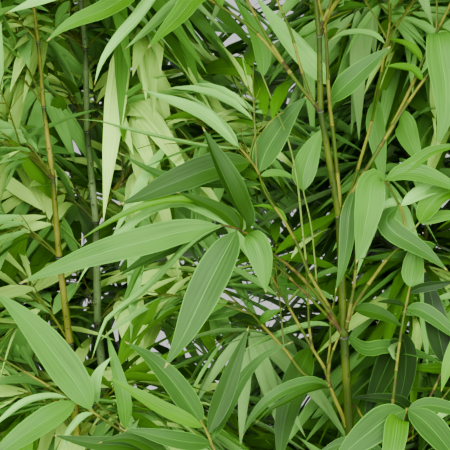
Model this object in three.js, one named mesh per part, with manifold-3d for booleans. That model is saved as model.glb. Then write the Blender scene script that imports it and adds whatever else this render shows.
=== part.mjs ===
// A clump of bamboo in a round clay pot: six jointed culms, the side branches of the front culm
// and masses of leafy twigs. Millimetres, +Z up, origin at the middle of the pot's flat underside.
// The front of the plant faces -Y. Angles are in degrees, and an azimuth is counted from +X towards +Y.

import * as THREE from "three";
import { mergeVertices } from "three/addons/utils/BufferGeometryUtils.js";
import Module from "manifold-3d";

const wasm = await Module();
wasm.setup();

// Pot and soil
const POT_HEIGHT = 340;
const POT_RIM_RADIUS = 190;
const POT_FOOT_RADIUS = 126;
const POT_WALL = 12;
const POT_FLOOR = 16;
const BAND_HEIGHT = 66;
const BAND_STEP = 8;
const BAND_SLOPE = 3;
const RIM_ROUND = 4;
const EDGE_ROUND = 3;
const POT_SIDES = 40;
const SOIL_BELOW_RIM = 34;
const GAP = 0.3;
const CLEAR = 0.4;
const SOIL_TOP = POT_HEIGHT - SOIL_BELOW_RIM;

// Culms
const INTERNODES = 20;
const TOP_LONG_INTERNODE = 10;
const RISE = 3.5;
const SHORTER_EACH = 0.89;
const ZIGZAG = 2.2;
const TAPER_POWER = 0.64;
const TIP_RADIUS = 0.9;
const FLARE = 1.2;
const FLARE_TOP = 14;
const RIDGE = 1.3;
const RIDGE_HALF = 2.2;
const CULM_SIDES = 6;
const UPRIGHT = 0.05;

// Each culm: its foot in the soil, its height above the soil, its radius at the foot, the azimuth it
// leans to, its lean at the foot and how much more it leans at the tip, and the azimuth of its branch plane.
// The front culm has four internodes, and how far each one is bent to the right, as measured.
const CULMS = [
  { name: "front", x: 70, y: -62, height: 1424, radius: 6.4, away: 200, lean: 1.2, arch: 6.5, plane: 0,
    measured: { first: 11, footShare: 0.614, lengths: [94, 86, 74, 51], bends: [0, 1.5, -5.6, 3.9] } },
  { name: "left", x: -92, y: 10, height: 1290, radius: 6.2, away: 176, lean: 4.4, arch: 1, plane: 60 },
  { name: "back_left", x: -112, y: 76, height: 1400, radius: 6.5, away: 160, lean: 2.3, arch: 1, plane: 20 },
  { name: "back_right", x: 52, y: 84, height: 1330, radius: 6.1, away: 48, lean: 4, arch: 10, plane: 140 },
  { name: "right", x: 108, y: 22, height: 1120, radius: 5.4, away: 352, lean: 6, arch: 13, plane: 80 },
  { name: "short", x: -38, y: -92, height: 800, radius: 4.6, away: 232, lean: 5, arch: 16, plane: 110 },
];
const FRONT_NODE = { f: 10, e: 11, d: 12, c: 13, b: 14, a: 15 };

// The upper front culm and its branches are measured on a square window seen from the front and a little
// above: steps right and down from the window's corner, then millimetres in front of its plane.
const WINDOW = { width: 315, steps: 450, eye: 1100, down: 8, node: "d", nodeAt: [344, 337] };

// Main boughs of the front culm: the node each leaves, its end, how much it arches, the tip of the stem
// that goes on from it through its mass of leaves, and the leaves measured one by one: the share of the
// stem where each is rooted, its tip, and its width.
const BOUGHS = [
  { name: "a_right", node: "a", end: [394, -70, -8], arch: 0.04, tip: [452, -142, -6],
    leaves: [[0.96, [560, -150, 10], 17], [0.5, [400, -210, 6], 17]] },
  { name: "b_left", node: "b", end: [223, 8, 24], arch: 0.05, tip: [122, -34, 40],
    leaves: [[0.3, [147, 48, 46], 15], [0.62, [94, 84, 44], 10], [0.97, [48, 38, 50], 14]] },
  { name: "c_up", node: "c", end: [333, 108, 12], arch: 0, tip: [316, -10, 16],
    leaves: [[0.22, [264, 12, -26], 21], [0.95, [256, -96, 10], 17], [0.8, [372, -84, 24], 15]] },
  { name: "c_inner", node: "c", end: [383, 62, -28], arch: 0.02, tip: [393, -30, -34],
    leaves: [[0.12, [330, 100, -34], 16], [0.3, [327, 42, -26], 8], [0.96, [430, -128, -20], 15]] },
  { name: "c_right", node: "c", end: [428, 52, 4], arch: 0.03, tip: [462, -20, 8],
    leaves: [[0.15, [438, 147, 24], 21], [0.9, [560, 22, 22], 17]] },
  { name: "d_upper", node: "d", end: [264, 190, -14], arch: 0.03, tip: [240, 148, -4],
    leaves: [[0.97, [142, 90, 8], 15], [0.9, [75, 119, -10], 8], [0.5, [308, 96, -26], 19],
      [0.7, [119, 204, 2], 21], [0.6, [118, 153, -18], 9]] },
  { name: "d_lower", node: "d", end: [266, 250, 24], arch: 0.05, tip: [222, 226, 30],
    leaves: [[0.97, [20, 283, 34], 19], [0.82, [167, 365, 46], 24], [0.6, [203, 128, 56], 18],
      [0.42, [265, 292, 42], 17], [0.92, [92, 360, 8], 9], [0.75, [178, 193, 16], 10]] },
  { name: "d_right", node: "d", end: [404, 240, 18], arch: 0.05, tip: [384, 181, 30],
    leaves: [[0.96, [357, 262, 46], 21], [0.8, [470, 190, 44], 12], [0.1, [447, 269, 30], 15],
      [0.9, [470, 142, 36], 8], [0.3, [482, 196, 20], 13]] },
  { name: "e_left", node: "e", end: [328, 384, -8], arch: 0.03, tip: [252, 312, -20],
    leaves: [[0.1, [242, 435, 2], 9], [0.04, [257, 424, 12], 8], [0.96, [282, 309, -12], 8],
      [0.98, [170, 318, -34], 13]] },
  { name: "f_left", node: "f", end: [214, 450, 34], arch: 0.08, tip: [78, 401, 32],
    leaves: [[0.98, [-4, 293, 30], 24], [0.9, [-6, 452, 52], 18], [0.12, [248, 328, 24], 14],
      [0.16, [108, 377, 46], 10], [0.24, [128, 432, 58], 14], [0.2, [126, 345, 6], 20],
      [0.86, [67, 447, 44], 9]] },
  { name: "f_right", node: "f", end: [398, 440, 42], arch: 0.06, tip: [407, 408, 50],
    leaves: [[0.9, [332, 464, 66], 24], [0.6, [385, 490, 78], 16], [0.94, [466, 466, 62], 19],
      [0.8, [478, 408, 44], 11]] },
];
const BOUGH_RADIUS = 1.7;
const BOUGH_TIP_RADIUS = 1.25;
const BOUGH_SHARE = 0.75;
const BOUGH_END_SHARE = 0.9;
const BOUGH_STEPS = 4;
const BOUGH_SIDES = 5;

// Masses of leaves that grow straight from a culm: the culm, the node, the azimuth, and the stem's length.
const SIDE_MASSES = [
  { culm: "front", node: 8, azimuth: -40, length: 220 },
  { culm: "front", node: 9, azimuth: 215, length: 200 },
  { culm: "left", node: 6, azimuth: 215, length: 230 },
  { culm: "left", node: 8, azimuth: 120, length: 240 },
  { culm: "left", node: 10, azimuth: 195, length: 220 },
  { culm: "left", node: 12, azimuth: 135, length: 190 },
  { culm: "left", node: 15, azimuth: 205, length: 140 },
  { culm: "back_left", node: 6, azimuth: 175, length: 230 },
  { culm: "back_left", node: 8, azimuth: 80, length: 240 },
  { culm: "back_left", node: 10, azimuth: 15, length: 210 },
  { culm: "back_left", node: 13, azimuth: 55, length: 200 },
  { culm: "back_left", node: 15, azimuth: 140, length: 150 },
  { culm: "back_right", node: 6, azimuth: 110, length: 230 },
  { culm: "back_right", node: 8, azimuth: 20, length: 240 },
  { culm: "back_right", node: 10, azimuth: 150, length: 220 },
  { culm: "back_right", node: 12, azimuth: 10, length: 190 },
  { culm: "back_right", node: 15, azimuth: 120, length: 150 },
  { culm: "right", node: 7, azimuth: -45, length: 220 },
  { culm: "right", node: 9, azimuth: 30, length: 230 },
  { culm: "right", node: 11, azimuth: -30, length: 200 },
  { culm: "right", node: 14, azimuth: 20, length: 150 },
  { culm: "short", node: 8, azimuth: 185, length: 170 },
  { culm: "short", node: 10, azimuth: 280, length: 170 },
  { culm: "short", node: 13, azimuth: 200, length: 120 },
];
const SIDE_RISE = 46;
const SIDE_DROOP = 0.3;
const TOP_MASS_LENGTH = 120;
const TOP_MASS_DROOP = 0.12;
const STEM_RADIUS = 2.6;
const STEM_TIP_RADIUS = 1.4;
const STEM_STEPS = 3;
const STEM_TURN = 0.4;

// How large the twigs of a mass are: on a bough, at a culm's tip, and on a culm's side by the stem's length.
const BOUGH_MASS_SIZE = 0.62;
const TOP_MASS_SIZE = 0.7;
const LEAST_MASS_SIZE = 0.6;
const FULL_STEM = 500;

// Twigs and leaves
const TWIGS = 3;
const FIRST_TWIG = 0.36;
const LAST_TWIG = 0.86;
const TWIG_SPREAD = 46;
const TWIG_SPREADS = [0.8, 1.2];
const TWIG_LENGTH = 72;
const TWIG_RANGE = [0.75, 1.15];
const FOOT_TWIG = 1.15;
const TWIG_SHORTER = 0.4;
const TWIG_LOOSE = 12;
const TWIG_HALF = 2;
const TWIG_SHARE = 0.66;
const TWIG_TIP_RADIUS = 1;
const TWIG_SIDES = 3;
const TWIG_FACES = [30, 150, 270];
const FACE_REACH = 0.8;
const LEAVES_PER_TWIG = 3;
const LEAF_STEP = 0.2;
const END_SUNK = 2.5;
const MOST_LEAVES = 11;
const LEAF_SPREAD = 36;
const SPREAD_RANGE = [0.75, 1.25];
const END_SPREAD = [4, 12];
const LEAF_LOOSE = 15;
const LEAF_LENGTH = 130;
const LENGTH_RANGE = [0.85, 1.15];
const SHORTER_TRY = 0.04;
const LEAF_ASPECT = 0.2;
const ASPECT_RANGE = [0.9, 1.1];
const LEAF_BODY = 0.4;
const LEAF_WIDEST = 0.34;
const LEAF_RISE = 0.04;
const LEAF_DROOP = 0.45;
const DROOP_RANGE = [0.3, 1.2];
const END_DROOP = 0.06;
const LEAF_THICKNESS = 0.016;
const LEAF_RUNS = [0.2, 0.34, 0.5, 0.65, 0.8, 1];
const LEAF_SHARES = [0.6, 1, 0.8, 0.55, 0.3, 0];
const LOWEST_LEAF = 60;
const TRIES = 8;
const MOST_SHIFT = 0.12;
const CELL_MARGIN = 2.5;
const LIMB_MARGIN = 1.2;
const FLAT_WITHIN = 0.001;

// Nothing but the measured branches and leaves stands in front of the window's plane.
const SIGHT_HALF = 180;
const SIGHT_BEHIND = 6;

const UP = new THREE.Vector3(0, 0, 1);
const FRONT_AND_UP = new THREE.Vector3(0, -0.8, 0.6);
const degrees = THREE.MathUtils.degToRad;

// A repeatable source of numbers from 0 to 1.
function seeded(seed) {
  let state = seed;
  return () => {
    state = (1664525 * state + 1013904223) % 4294967296;
    return state / 4294967296;
  };
}

function level(azimuth) {
  return new THREE.Vector3(Math.cos(degrees(azimuth)), Math.sin(degrees(azimuth)), 0);
}

// Two unit vectors square to a direction: one level, and one that points up.
function across(direction) {
  const side = new THREE.Vector3().crossVectors(direction, UP);
  if (side.length() < UPRIGHT) side.set(1, 0, 0);
  side.normalize();
  return [side, new THREE.Vector3().crossVectors(side, direction).normalize()];
}

// A tapering limb along a line of points: a cylinder whose rings are moved onto the points, without a twist.
function limb(points, radii, sides) {
  const steps = points.length - 1;
  const geometry = new THREE.CylinderGeometry(1, 1, 1, sides, steps);
  const position = geometry.getAttribute("position");
  const [first] = across(points[1].clone().sub(points[0]).normalize());
  for (let i = 0; i < position.count; i++) {
    const ring = Math.round((position.getY(i) + 0.5) * steps);
    const ahead = points[Math.min(ring + 1, steps)].clone().sub(points[Math.max(ring - 1, 0)]).normalize();
    const side = first.clone().addScaledVector(ahead, -first.dot(ahead)).normalize();
    const over = new THREE.Vector3().crossVectors(side, ahead);
    const at = points[ring]
      .clone()
      .addScaledVector(side, position.getX(i) * radii[ring])
      .addScaledVector(over, position.getZ(i) * radii[ring]);
    position.setXYZ(i, at.x, at.y, at.z);
  }
  return solid(geometry);
}

// A closed geometry as a solid for cutting and joining.
function solid(geometry) {
  for (const name of ["normal", "uv"]) geometry.deleteAttribute(name);
  const merged = mergeVertices(geometry, 1e-3);
  const mesh = new wasm.Mesh({
    numProp: 3,
    vertProperties: merged.getAttribute("position").array,
    triVerts: new Uint32Array(merged.index.array),
  });
  return new wasm.Manifold(mesh).simplify(FLAT_WITHIN);
}

function geometryOf(made) {
  const mesh = made.getMesh();
  return new THREE.BufferGeometry()
    .setAttribute("position", new THREE.BufferAttribute(mesh.vertProperties, 3))
    .setIndex(new THREE.BufferAttribute(mesh.triVerts, 1));
}

// The largest closed shell of a union, without loose scraps and sealed hollows.
function wholeOf(made) {
  return made.decompose().reduce((best, one) => (one.volume() > best.volume() ? one : best));
}

function ladder(count, from, to) {
  return Array.from({ length: count + 1 }, (_, i) => from + ((to - from) * i) / count);
}

// Internode lengths: they grow from the foot, and above the longest each is shorter than the last.
function internodes({ height, measured }) {
  const lengths = [];
  for (let i = 0; i < INTERNODES; i++) {
    const grown = 1 - Math.exp(-(i + 1) / RISE);
    lengths.push(grown * SHORTER_EACH ** Math.max(0, i - TOP_LONG_INTERNODE));
  }
  const whole = lengths.reduce((a, b) => a + b);
  const scaled = lengths.map((length) => (length * height) / whole);
  if (!measured) return scaled;
  const { first, lengths: known } = measured;
  const after = first + known.length;
  const foot = height * measured.footShare;
  const below = scaled.slice(0, first).reduce((a, b) => a + b);
  return scaled.map((length, i) => {
    if (i < first) return (length * foot) / below;
    if (i < after) return known[i - first];
    return known[known.length - 1] * SHORTER_EACH ** (i - after + 1);
  });
}

// The nodes of a culm, from its foot to its tip: place, radius and direction.
function culmNodes(culm) {
  const lengths = internodes(culm);
  const whole = lengths.reduce((a, b) => a + b);
  const at = new THREE.Vector3(culm.x, culm.y, SOIL_TOP + GAP);
  const nodes = [];
  let run = 0;
  for (let i = 0; i <= INTERNODES; i++) {
    const t = run / whole;
    const length = lengths[Math.min(i, INTERNODES - 1)];
    const middle = Math.min(1, (run + length / 2) / whole);
    const tilt = degrees(culm.lean + culm.arch * middle * middle);
    let bend = i % 2 ? -ZIGZAG : ZIGZAG;
    if (culm.measured) {
      bend = culm.measured.bends[i - culm.measured.first] ?? bend / 2;
    }
    const direction = level(culm.away)
      .multiplyScalar(Math.sin(tilt))
      .addScaledVector(level(culm.plane), Math.sin(degrees(bend)))
      .addScaledVector(UP, Math.cos(tilt))
      .normalize();
    const radius = Math.max(TIP_RADIUS, culm.radius * (1 - t) ** TAPER_POWER);
    nodes.push({ at: at.clone(), radius, direction, t });
    at.addScaledVector(direction, length);
    run += length;
  }
  return nodes;
}

// A culm: a flat cut and a small flare at the soil, and a ridge at every node.
function culmSolid(nodes, grow = 0) {
  const points = [];
  const radii = [];
  nodes.forEach(({ at, radius, direction }, i) => {
    if (i === 0) {
      points.push(at.clone().addScaledVector(direction, -radius));
      points.push(at.clone().addScaledVector(direction, FLARE_TOP));
      radii.push(radius * FLARE + grow, radius + grow);
    } else if (i === INTERNODES) {
      points.push(at);
      radii.push(radius + grow);
    } else {
      const half = Math.min(RIDGE_HALF, radius);
      points.push(at, at.clone().addScaledVector(direction, half));
      radii.push(radius * RIDGE + grow, radius + grow);
    }
  });
  return limb(points, radii, CULM_SIDES).trimByPlane([0, 0, 1], SOIL_TOP + GAP);
}

// The middle of the window, and any place measured on it, from the node it is counted from.
function seen([right, down, forward], node) {
  const step = WINDOW.width / WINDOW.steps;
  const ahead = new THREE.Vector3(0, Math.cos(degrees(WINDOW.down)), -Math.sin(degrees(WINDOW.down)));
  const over = new THREE.Vector3(0, -ahead.z, ahead.y);
  const offset = (u, v) => new THREE.Vector3(step * (u - WINDOW.steps / 2), 0, 0)
    .addScaledVector(over, step * (WINDOW.steps / 2 - v));
  const eye = node.clone().sub(offset(...WINDOW.nodeAt)).addScaledVector(ahead, -WINDOW.eye);
  const ray = offset(right, down).addScaledVector(ahead, WINDOW.eye);
  return eye.addScaledVector(ray, 1 - forward / WINDOW.eye);
}

// Points of a limb that arches up between two places.
function archedPoints(start, end, arch, steps) {
  return ladder(steps, 0, 1).map((s) =>
    start
      .clone()
      .lerp(end, s)
      .addScaledVector(UP, arch * start.distanceTo(end) * (s - s * s)),
  );
}

// Points of a limb that sets out in a direction and turns to reach a place.
function turningPoints(start, onward, end, steps) {
  const turn = start.clone().addScaledVector(onward, STEM_TURN * start.distanceTo(end));
  return new THREE.QuadraticBezierCurve3(start, turn, end).getPoints(steps);
}

// Points of a limb that leaves a place in a direction and droops with the square of its run.
function limbPoints(start, direction, length, droop, steps) {
  return ladder(steps, 0, 1).map((s) =>
    start
      .clone()
      .addScaledVector(direction, length * s)
      .addScaledVector(UP, -droop * length * s * s),
  );
}

function pointOn(points, s) {
  const run = s * (points.length - 1);
  const i = Math.min(Math.floor(run), points.length - 2);
  return points[i].clone().lerp(points[i + 1], run - i);
}

function directionOn(points, s) {
  const i = Math.min(Math.floor(s * (points.length - 1)), points.length - 2);
  return points[i + 1].clone().sub(points[i]).normalize();
}

function distanceTo(points, place) {
  let least = Infinity;
  const line = new THREE.Line3();
  const near = new THREE.Vector3();
  for (let i = 0; i + 1 < points.length; i++) {
    line.set(points[i], points[i + 1]).closestPointToPoint(place, true, near);
    least = Math.min(least, near.distanceTo(place));
  }
  return least;
}

// A direction that leaves a limb at an angle, towards an azimuth counted round the limb from its level side.
function leaning(along, round, spread) {
  const [side, over] = across(along);
  return along
    .clone()
    .multiplyScalar(Math.cos(degrees(spread)))
    .addScaledVector(side, Math.cos(degrees(round)) * Math.sin(degrees(spread)))
    .addScaledVector(over, Math.sin(degrees(round)) * Math.sin(degrees(spread)))
    .normalize();
}

// Whether a direction leaves a three-sided twig well inside one of its faces.
function leavesByFace(along, direction) {
  const [side, over] = across(along);
  const round = THREE.MathUtils.radToDeg(Math.atan2(direction.dot(over), direction.dot(side)));
  return TWIG_FACES.some((middle) => Math.cos(degrees(round - middle)) > FACE_REACH);
}

// One leaf of eight faces: an octahedron drawn out from its root to its tip.
function leafSolid({ root, direction, over, length, width }, grow = 0) {
  const side = new THREE.Vector3().crossVectors(direction, over).normalize();
  const geometry = new THREE.OctahedronGeometry(1, 0);
  const position = geometry.getAttribute("position");
  const widest = root
    .clone()
    .addScaledVector(direction, length * LEAF_WIDEST)
    .addScaledVector(over, length * LEAF_RISE);
  for (let i = 0; i < position.count; i++) {
    const [x, y, z] = [position.getX(i), position.getY(i), position.getZ(i)];
    const at = y < -0.5 ? root.clone() : widest.clone();
    if (y > 0.5) at.copy(root).addScaledVector(direction, length + grow);
    at.addScaledVector(side, x * (width / 2 + grow));
    at.addScaledVector(over, z * ((length * LEAF_THICKNESS) / 2 + grow));
    position.setXYZ(i, at.x, at.y, at.z);
  }
  return solid(geometry);
}

// Whether a leaf or twig stays in its mass's own space, off every limb and out of the line of sight.
function fits(places, halfWidths, mass) {
  return places.every((place, i) => {
    const own = distanceTo(mass.stem, place) + CELL_MARGIN;
    if (place.z < SOIL_TOP + LOWEST_LEAF) return false;
    if (masses.some((other) => other !== mass && distanceTo(other.stem, place) < own)) return false;
    const room = halfWidths[i] + LIMB_MARGIN;
    if (limbs.some(({ points, radius }) => distanceTo(points, place) < radius + room)) return false;
    const inSight = Math.abs(place.x - sight.x) < SIGHT_HALF && Math.abs(place.z - sight.z) < SIGHT_HALF;
    return !inSight || place.y > sight.y + SIGHT_BEHIND;
  });
}

// The twigs of a mass, as lines of points: each leaves the stem by a face, and the faces take turns.
function growTwigs(mass, between) {
  const twigs = [];
  for (let i = 0; i < TWIGS; i++) {
    const s = FIRST_TWIG + ((LAST_TWIG - FIRST_TWIG) * i) / (TWIGS - 1);
    const along = directionOn(mass.stem, s);
    const start = pointOn(mass.stem, s);
    const length = TWIG_LENGTH * between(...TWIG_RANGE) * mass.size * (FOOT_TWIG - TWIG_SHORTER * s);
    for (let attempt = 0; attempt < TRIES; attempt++) {
      const round = TWIG_FACES[(i + attempt) % TWIG_FACES.length] + between(-TWIG_LOOSE, TWIG_LOOSE);
      const direction = leaning(along, round, TWIG_SPREAD * between(...TWIG_SPREADS));
      const points = limbPoints(start, direction, length, 0, 2);
      if (!fits(points.slice(1), [TWIG_HALF, TWIG_HALF], mass)) continue;
      const radius = TWIG_SHARE * (mass.radius + s * (STEM_TIP_RADIUS - mass.radius));
      twigs.push([points[0], points[2]]);
      mass.whole = mass.whole.add(limb([points[0], points[2]], [radius, TWIG_TIP_RADIUS], TWIG_SIDES));
      break;
    }
  }
  return twigs;
}

// A leaf tried at a place on a twig: the end leaf follows the twig, and the others stand off to a side.
function tryLeaf(points, s, k, attempt, between) {
  const along = directionOn(points, s);
  const root = pointOn(points, s);
  const round = TWIG_FACES[(k + attempt) % TWIG_FACES.length] + between(-LEAF_LOOSE, LEAF_LOOSE);
  const spread = k === 0 ? between(...END_SPREAD) : LEAF_SPREAD * between(...SPREAD_RANGE);
  const droop = k === 0 ? END_DROOP : LEAF_DROOP * between(...DROOP_RANGE);
  const direction = leaning(along, round, spread).addScaledVector(UP, -droop).normalize();
  const over = new THREE.Vector3().crossVectors(along, direction).normalize();
  if (over.z < 0) over.negate();
  const length = LEAF_LENGTH * between(...LENGTH_RANGE) * (1 - SHORTER_TRY * attempt);
  const width = length * LEAF_ASPECT * between(...ASPECT_RANGE);
  return { root, along, direction, over, length, width };
}

// A measured leaf, with its face to the front and up.
function leafBetween(root, end, width) {
  const direction = end.clone().sub(root).normalize();
  const over = FRONT_AND_UP.clone().addScaledVector(direction, -direction.dot(FRONT_AND_UP)).normalize();
  return { root, direction, over, length: root.distanceTo(end), width };
}

// Joins a leaf to its mass, unless it would touch more than the one limb that it is rooted in.
function joinLeaf(leaf, mass) {
  const blade = leafSolid(leaf);
  if (blade.intersect(mass.whole).decompose().length !== 1) return false;
  mass.whole = mass.whole.add(blade);
  mass.leaves++;
  return true;
}

// The measured leaves of a mass, each shifted a little along the stem where two would meet at their roots.
function growMeasured(mass) {
  for (const [share, tip, width] of mass.measured) {
    const end = seen(tip, window);
    for (const shift of ladder(TRIES, 0, MOST_SHIFT).flatMap((one) => [one, -one])) {
      const leaf = leafBetween(pointOn(mass.stem, share + shift), end, width);
      const room = leafSolid(leaf, CLEAR);
      if (!room.intersect(taken).isEmpty()) continue;
      if (masses.some((other) => other !== mass && !room.intersect(other.whole).isEmpty())) continue;
      if (!joinLeaf(leaf, mass)) continue;
      limbs.push({ points: [leaf.root, end], radius: leaf.width * LEAF_BODY });
      break;
    }
  }
}

// The rest of a mass: its twigs, and leaves from the ends of the twigs and the stem back.
function growMass(mass) {
  const random = seeded(mass.seed);
  const between = (low, high) => low + (high - low) * random();
  const ends = [...growTwigs(mass, between), mass.stem];
  for (let k = 0; k < LEAVES_PER_TWIG; k++) {
    for (const points of ends) {
      const sunk = END_SUNK / (points[0].distanceTo(points[1]) * (points.length - 1));
      for (let attempt = 0; attempt < TRIES && mass.leaves < MOST_LEAVES; attempt++) {
        const leaf = tryLeaf(points, k === 0 ? 1 - sunk : 1 - LEAF_STEP * k, k, attempt, between);
        if (k > 0 && !leavesByFace(leaf.along, leaf.direction)) continue;
        const { root, direction, length } = leaf;
        const places = LEAF_RUNS.map((run) => root.clone().addScaledVector(direction, length * run));
        const halves = LEAF_SHARES.map((share) => (share * leaf.width) / 2);
        if (fits(places, halves, mass) && joinLeaf(leaf, mass)) break;
      }
    }
  }
}

function material(color, roughness) {
  return new THREE.MeshStandardMaterial({ color, roughness, metalness: 0 });
}

function named(name, geometry, look) {
  const mesh = new THREE.Mesh(geometry, look);
  mesh.name = name;
  return mesh;
}

// A solid of revolution about +Z from a profile of [radius, height] pairs.
function turnedSolid(profile) {
  const points = profile.map(([radius, height]) => new THREE.Vector2(radius, height));
  return new THREE.LatheGeometry(points, POT_SIDES).rotateX(Math.PI / 2);
}

function innerRadius(height) {
  const share = (height - POT_FLOOR) / (POT_HEIGHT - POT_FLOOR);
  return POT_FOOT_RADIUS - POT_WALL + share * (POT_RIM_RADIUS - BAND_STEP - POT_FOOT_RADIUS);
}

function potGeometry() {
  const bandFoot = POT_HEIGHT - BAND_HEIGHT;
  const spread = POT_RIM_RADIUS - BAND_STEP - POT_FOOT_RADIUS;
  const outer = (height) => POT_FOOT_RADIUS + (height / POT_HEIGHT) * spread;
  return turnedSolid([
    [0, 0],
    [POT_FOOT_RADIUS - EDGE_ROUND, 0],
    [POT_FOOT_RADIUS, EDGE_ROUND],
    [outer(bandFoot), bandFoot],
    [outer(bandFoot) + BAND_STEP, bandFoot + BAND_SLOPE],
    [POT_RIM_RADIUS, POT_HEIGHT - RIM_ROUND],
    [POT_RIM_RADIUS - EDGE_ROUND, POT_HEIGHT],
    [innerRadius(POT_HEIGHT) + EDGE_ROUND, POT_HEIGHT],
    [innerRadius(POT_HEIGHT - RIM_ROUND), POT_HEIGHT - RIM_ROUND],
    [innerRadius(POT_FLOOR), POT_FLOOR],
    [0, POT_FLOOR],
  ]);
}

function soilGeometry() {
  const foot = POT_FLOOR + GAP;
  return turnedSolid([
    [0, foot],
    [innerRadius(foot) - CLEAR, foot],
    [innerRadius(SOIL_TOP) - CLEAR, SOIL_TOP],
    [0, SOIL_TOP],
  ]);
}

const CLAY = material(0xb56a45, 0.85);
const SOIL = material(0x3b2a1e, 0.95);
const CULM_GREEN = material(0x6d7d2c, 0.5);
const BOUGH_TAN = material(0x93803f, 0.6);
const LEAF_GREEN = material(0x5d9a3c, 0.55);

const plant = new THREE.Group();
plant.add(named("pot", potGeometry(), CLAY));
plant.add(named("soil", soilGeometry(), SOIL));

// Every limb as a line with a radius, every mass of leaves, and all that the measured leaves keep clear of:
// the culms and boughs, each a little thicker.
const limbs = [];
const masses = [];
let taken = wasm.Manifold.union([]);

const culms = new Map();
const sleeves = new Map();
for (const culm of CULMS) {
  const nodes = culmNodes(culm);
  culms.set(culm.name, nodes);
  sleeves.set(culm.name, culmSolid(nodes, CLEAR));
  taken = taken.add(sleeves.get(culm.name));
  nodes.slice(1).forEach((node, i) => {
    limbs.push({ points: [nodes[i].at, node.at], radius: nodes[i].radius * RIDGE });
  });
  plant.add(named(`culm_${culm.name}`, geometryOf(culmSolid(nodes)), CULM_GREEN));
}
const front = culms.get("front");
const window = front[FRONT_NODE[WINDOW.node]].at;
const sight = seen([WINDOW.steps / 2, WINDOW.steps / 2, 0], window);

BOUGHS.forEach(({ name, node, end, arch, tip, leaves }, i) => {
  const { at, radius } = front[FRONT_NODE[node]];
  const points = archedPoints(at, seen(end, window), arch, BOUGH_STEPS);
  const footRadius = Math.min(BOUGH_RADIUS, BOUGH_SHARE * radius);
  const endRadius = Math.min(BOUGH_TIP_RADIUS, BOUGH_END_SHARE * footRadius);
  const made = limb(points, ladder(BOUGH_STEPS, footRadius, endRadius), BOUGH_SIDES);
  limbs.push({ points, radius: BOUGH_RADIUS });
  plant.add(named(`bough_${name}`, geometryOf(wholeOf(made.subtract(taken))), BOUGH_TAN));
  taken = taken.add(limb(points, ladder(BOUGH_STEPS, footRadius + CLEAR, endRadius + CLEAR), BOUGH_SIDES));
  const onward = directionOn(points, 1);
  const from = points[BOUGH_STEPS].clone().addScaledVector(onward, GAP);
  const stem = turningPoints(from, onward, seen(tip, window), STEM_STEPS);
  masses.push({
    name: `leaves_${name}`,
    stem,
    measured: leaves,
    radius: STEM_TIP_RADIUS,
    size: BOUGH_MASS_SIZE,
    seed: 101 + i,
  });
});
SIDE_MASSES.forEach(({ culm, node, azimuth, length }, i) => {
  const direction = level(azimuth)
    .multiplyScalar(Math.cos(degrees(SIDE_RISE)))
    .addScaledVector(UP, Math.sin(degrees(SIDE_RISE)));
  masses.push({
    name: `leaves_${culm}_${node}`,
    stem: limbPoints(culms.get(culm)[node].at, direction, length, SIDE_DROOP, STEM_STEPS),
    measured: [],
    radius: STEM_RADIUS,
    size: LEAST_MASS_SIZE + length / FULL_STEM,
    seed: 201 + i,
    cutBy: culm,
  });
});
CULMS.forEach(({ name }, i) => {
  const tip = culms.get(name)[INTERNODES];
  const from = tip.at.clone().addScaledVector(tip.direction, GAP);
  masses.push({
    name: `leaves_${name}_top`,
    stem: limbPoints(from, tip.direction, TOP_MASS_LENGTH, TOP_MASS_DROOP, STEM_STEPS),
    measured: [],
    radius: STEM_TIP_RADIUS,
    size: TOP_MASS_SIZE,
    seed: 301 + i,
  });
});

for (const mass of masses) {
  mass.whole = limb(mass.stem, ladder(STEM_STEPS, mass.radius, STEM_TIP_RADIUS), TWIG_SIDES);
  mass.leaves = 0;
}
masses.forEach(growMeasured);
masses.forEach(growMass);
for (const { name, whole, cutBy } of masses) {
  const clear = cutBy ? whole.subtract(sleeves.get(cutBy)) : whole;
  plant.add(named(name, geometryOf(wholeOf(clear)), LEAF_GREEN));
}

export default plant;
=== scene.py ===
"""Potted bamboo: a clay pot of potting soil, six jointed canes, their branches, twigs and leaves.

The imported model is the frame. The plant's own sums are in millimetres and degrees, as in the part's
source, and a mesh is made in metres. The front of the plant faces -Y, and an azimuth is counted from
+X towards +Y.
"""

import functools
import math

import bpy
import numpy as np
from bpy.props import FloatProperty, FloatVectorProperty, IntProperty, PointerProperty
from bpy.types import Operator, Panel, PropertyGroup
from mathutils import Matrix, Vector


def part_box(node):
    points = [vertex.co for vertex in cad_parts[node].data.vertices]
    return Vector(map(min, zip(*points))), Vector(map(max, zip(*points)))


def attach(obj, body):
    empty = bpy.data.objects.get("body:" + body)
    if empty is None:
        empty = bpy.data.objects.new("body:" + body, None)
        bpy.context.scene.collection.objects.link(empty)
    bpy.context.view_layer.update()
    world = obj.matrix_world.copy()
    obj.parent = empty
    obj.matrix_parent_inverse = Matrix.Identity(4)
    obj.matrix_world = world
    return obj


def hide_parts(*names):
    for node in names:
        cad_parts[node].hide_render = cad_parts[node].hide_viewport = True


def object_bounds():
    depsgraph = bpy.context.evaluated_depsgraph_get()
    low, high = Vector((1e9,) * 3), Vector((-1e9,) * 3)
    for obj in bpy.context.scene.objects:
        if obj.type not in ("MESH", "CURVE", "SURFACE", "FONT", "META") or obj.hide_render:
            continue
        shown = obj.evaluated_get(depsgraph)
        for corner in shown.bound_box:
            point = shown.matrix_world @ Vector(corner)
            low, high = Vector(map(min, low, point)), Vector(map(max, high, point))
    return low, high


bl_info = {
    "name": "Potted bamboo",
    "version": (1, 0, 0),
    "blender": (4, 5, 0),
    "location": "3D View > Sidebar > Bamboo",
    "description": "Dresses the packed bamboo with its pot, soil, canes, branches, twigs and leaves",
    "category": "Object",
}

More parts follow.
